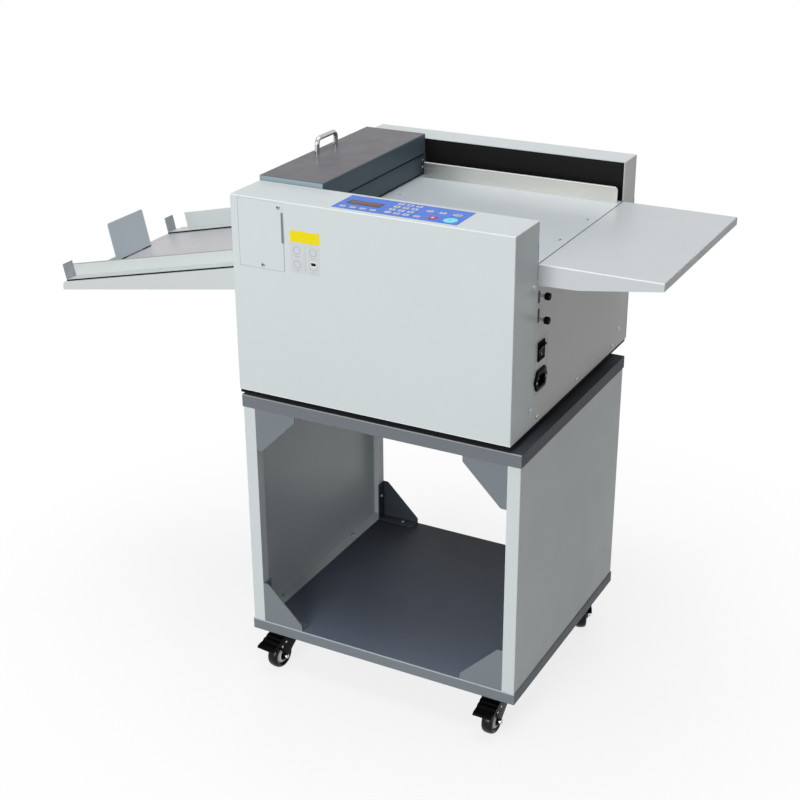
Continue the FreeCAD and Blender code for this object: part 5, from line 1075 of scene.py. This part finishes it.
def camera():
    """Heading, pitch and roll give the camera's axes; the frame's middle is shifted a little."""
    heading, pitch, roll = np.radians(CAMERA_TURN)
    back = np.array((math.sin(heading)*math.cos(pitch), -math.cos(heading)*math.cos(pitch), math.sin(pitch)))
    right = np.array((math.cos(heading), math.sin(heading), 0))
    up = np.cross(back, right)
    across = math.cos(roll)*right + math.sin(roll)*up
    upward = -math.sin(roll)*right + math.cos(roll)*up
    data = bpy.data.cameras.new("view")
    data.lens, (data.shift_x, data.shift_y) = CAMERA_LENS, CAMERA_SHIFT
    data.clip_start, data.clip_end = 0.05, 200
    item = placed("view", data)
    item.matrix_world = Matrix([[*row, spot] for row, spot in
                                zip(np.stack([across, upward, back], -1), CAMERA_PLACE)] + [[0, 0, 0, 1]])
    bpy.context.scene.camera = item


def area_light(name, place, aim, size, power, mirrored=True):
    """A round soft lamp aimed at a point; one that isn't mirrored lights surfaces without a glare."""
    data = bpy.data.lights.new(name, "AREA")
    data.shape, data.size, data.energy = "DISK", size, power
    item = placed(name, data)
    item.location = place
    item.visible_glossy = mirrored
    item.rotation_mode = "QUATERNION"
    item.rotation_quaternion = Vector(np.subtract(aim, place)).to_track_quat("-Z", "Y")


def seen_rays(tree):
    """One for camera, glossy and transmitted rays, nought for the others."""
    rays = add_node(tree, "LightPath").outputs
    total = rays["Is Camera Ray"]
    for name in ("Is Glossy Ray", "Is Transmission Ray"):
        total = add_node(tree, "Math", {0: total, 1: rays[name]}, operation="MAXIMUM").outputs[0]
    return total


def world(ambient=0.2):
    """White where it is seen, dimmer as the light that falls on surfaces."""
    item = bpy.data.worlds.new("studio")
    bpy.context.scene.world = item
    item.use_nodes = True
    tree = item.node_tree
    strength = add_node(tree, "MapRange", {"Value": seen_rays(tree), "To Min": ambient}).outputs["Result"]
    join(tree, tree.nodes["Background"], {"Color": (1, 1, 1, 1), "Strength": strength})


def floor(size=40.0, middle=0.45, near=0.8, far=1.0):
    """A pale floor that keeps a soft shadow near the object and runs out into white: the share of plain
    white grows from near to all of it between the middle and the far distance."""
    mesh = bpy.data.meshes.new("floor")
    corners = [(-size, -size, 0), (size, -size, 0), (size, size, 0), (-size, size, 0)]
    mesh.from_pydata(corners, [], [(0, 1, 2, 3)])
    placed("floor", mesh)
    finish = Finish("floor_white", Roughness=0.9)
    tree = finish.tree
    seen = seen_rays(tree)
    cloud = finish.noise(1.5)
    finish.paint(Base_Color=finish.mix(seen, finish.ramp(cloud, ("#a4a4a4", "#a8a8a8")),
                                       finish.ramp(cloud, ("#fcfcfc", "#fefefe"))))
    reach = finish.vector("LENGTH", finish.place, result="Value")
    white = finish.number("MULTIPLY", finish.spread(reach, near, 1.0, middle, far), seen)
    glow = finish.new("Emission", {"Color": (1, 1, 1, 1), "Strength": 1.0}).outputs[0]
    mixed = finish.new("MixShader", {0: white, 1: finish.shader.outputs[0], 2: glow})
    join(tree, tree.nodes["Material Output"], {"Surface": mixed.outputs[0]})
    mesh.materials.append(finish.material)


dress_nodes()
castors()
pan_heads("cover_screw_heads", "cover_screws", (BODY_LEFT + 20, (BODY_FRONT + THROAT_FRONT)/2, 0), 1)
pan_heads("stand_screw_heads", "stand_screws", (0, 0, (STAND_BOTTOM + SHELF_HIGH[2])/2), -1)
machine_feet()
lid_handle()
front_labels()
control_panel()
fluted_knob("upper")
fluted_knob("lower")
rocker_switch()
power_inlet()
entry_plate_seam()
table_seam()
lid_seal()
door_rebate()
camera()
world()
floor()
area_light("front", (-0.35, -4.0, 1.5), (-0.05, 0.0, 0.6), 2.2, 112.0)
area_light("overhead", (0.35, -0.1, 3.8), (0.0, 0.0, 0.8), 2.4, 61.0)
area_light("back", (-2.3, 3.6, 1.2), (0.0, 0.0, 0.5), 2.2, 42.0, False)
bpy.context.scene.view_settings.view_transform = "Standard"
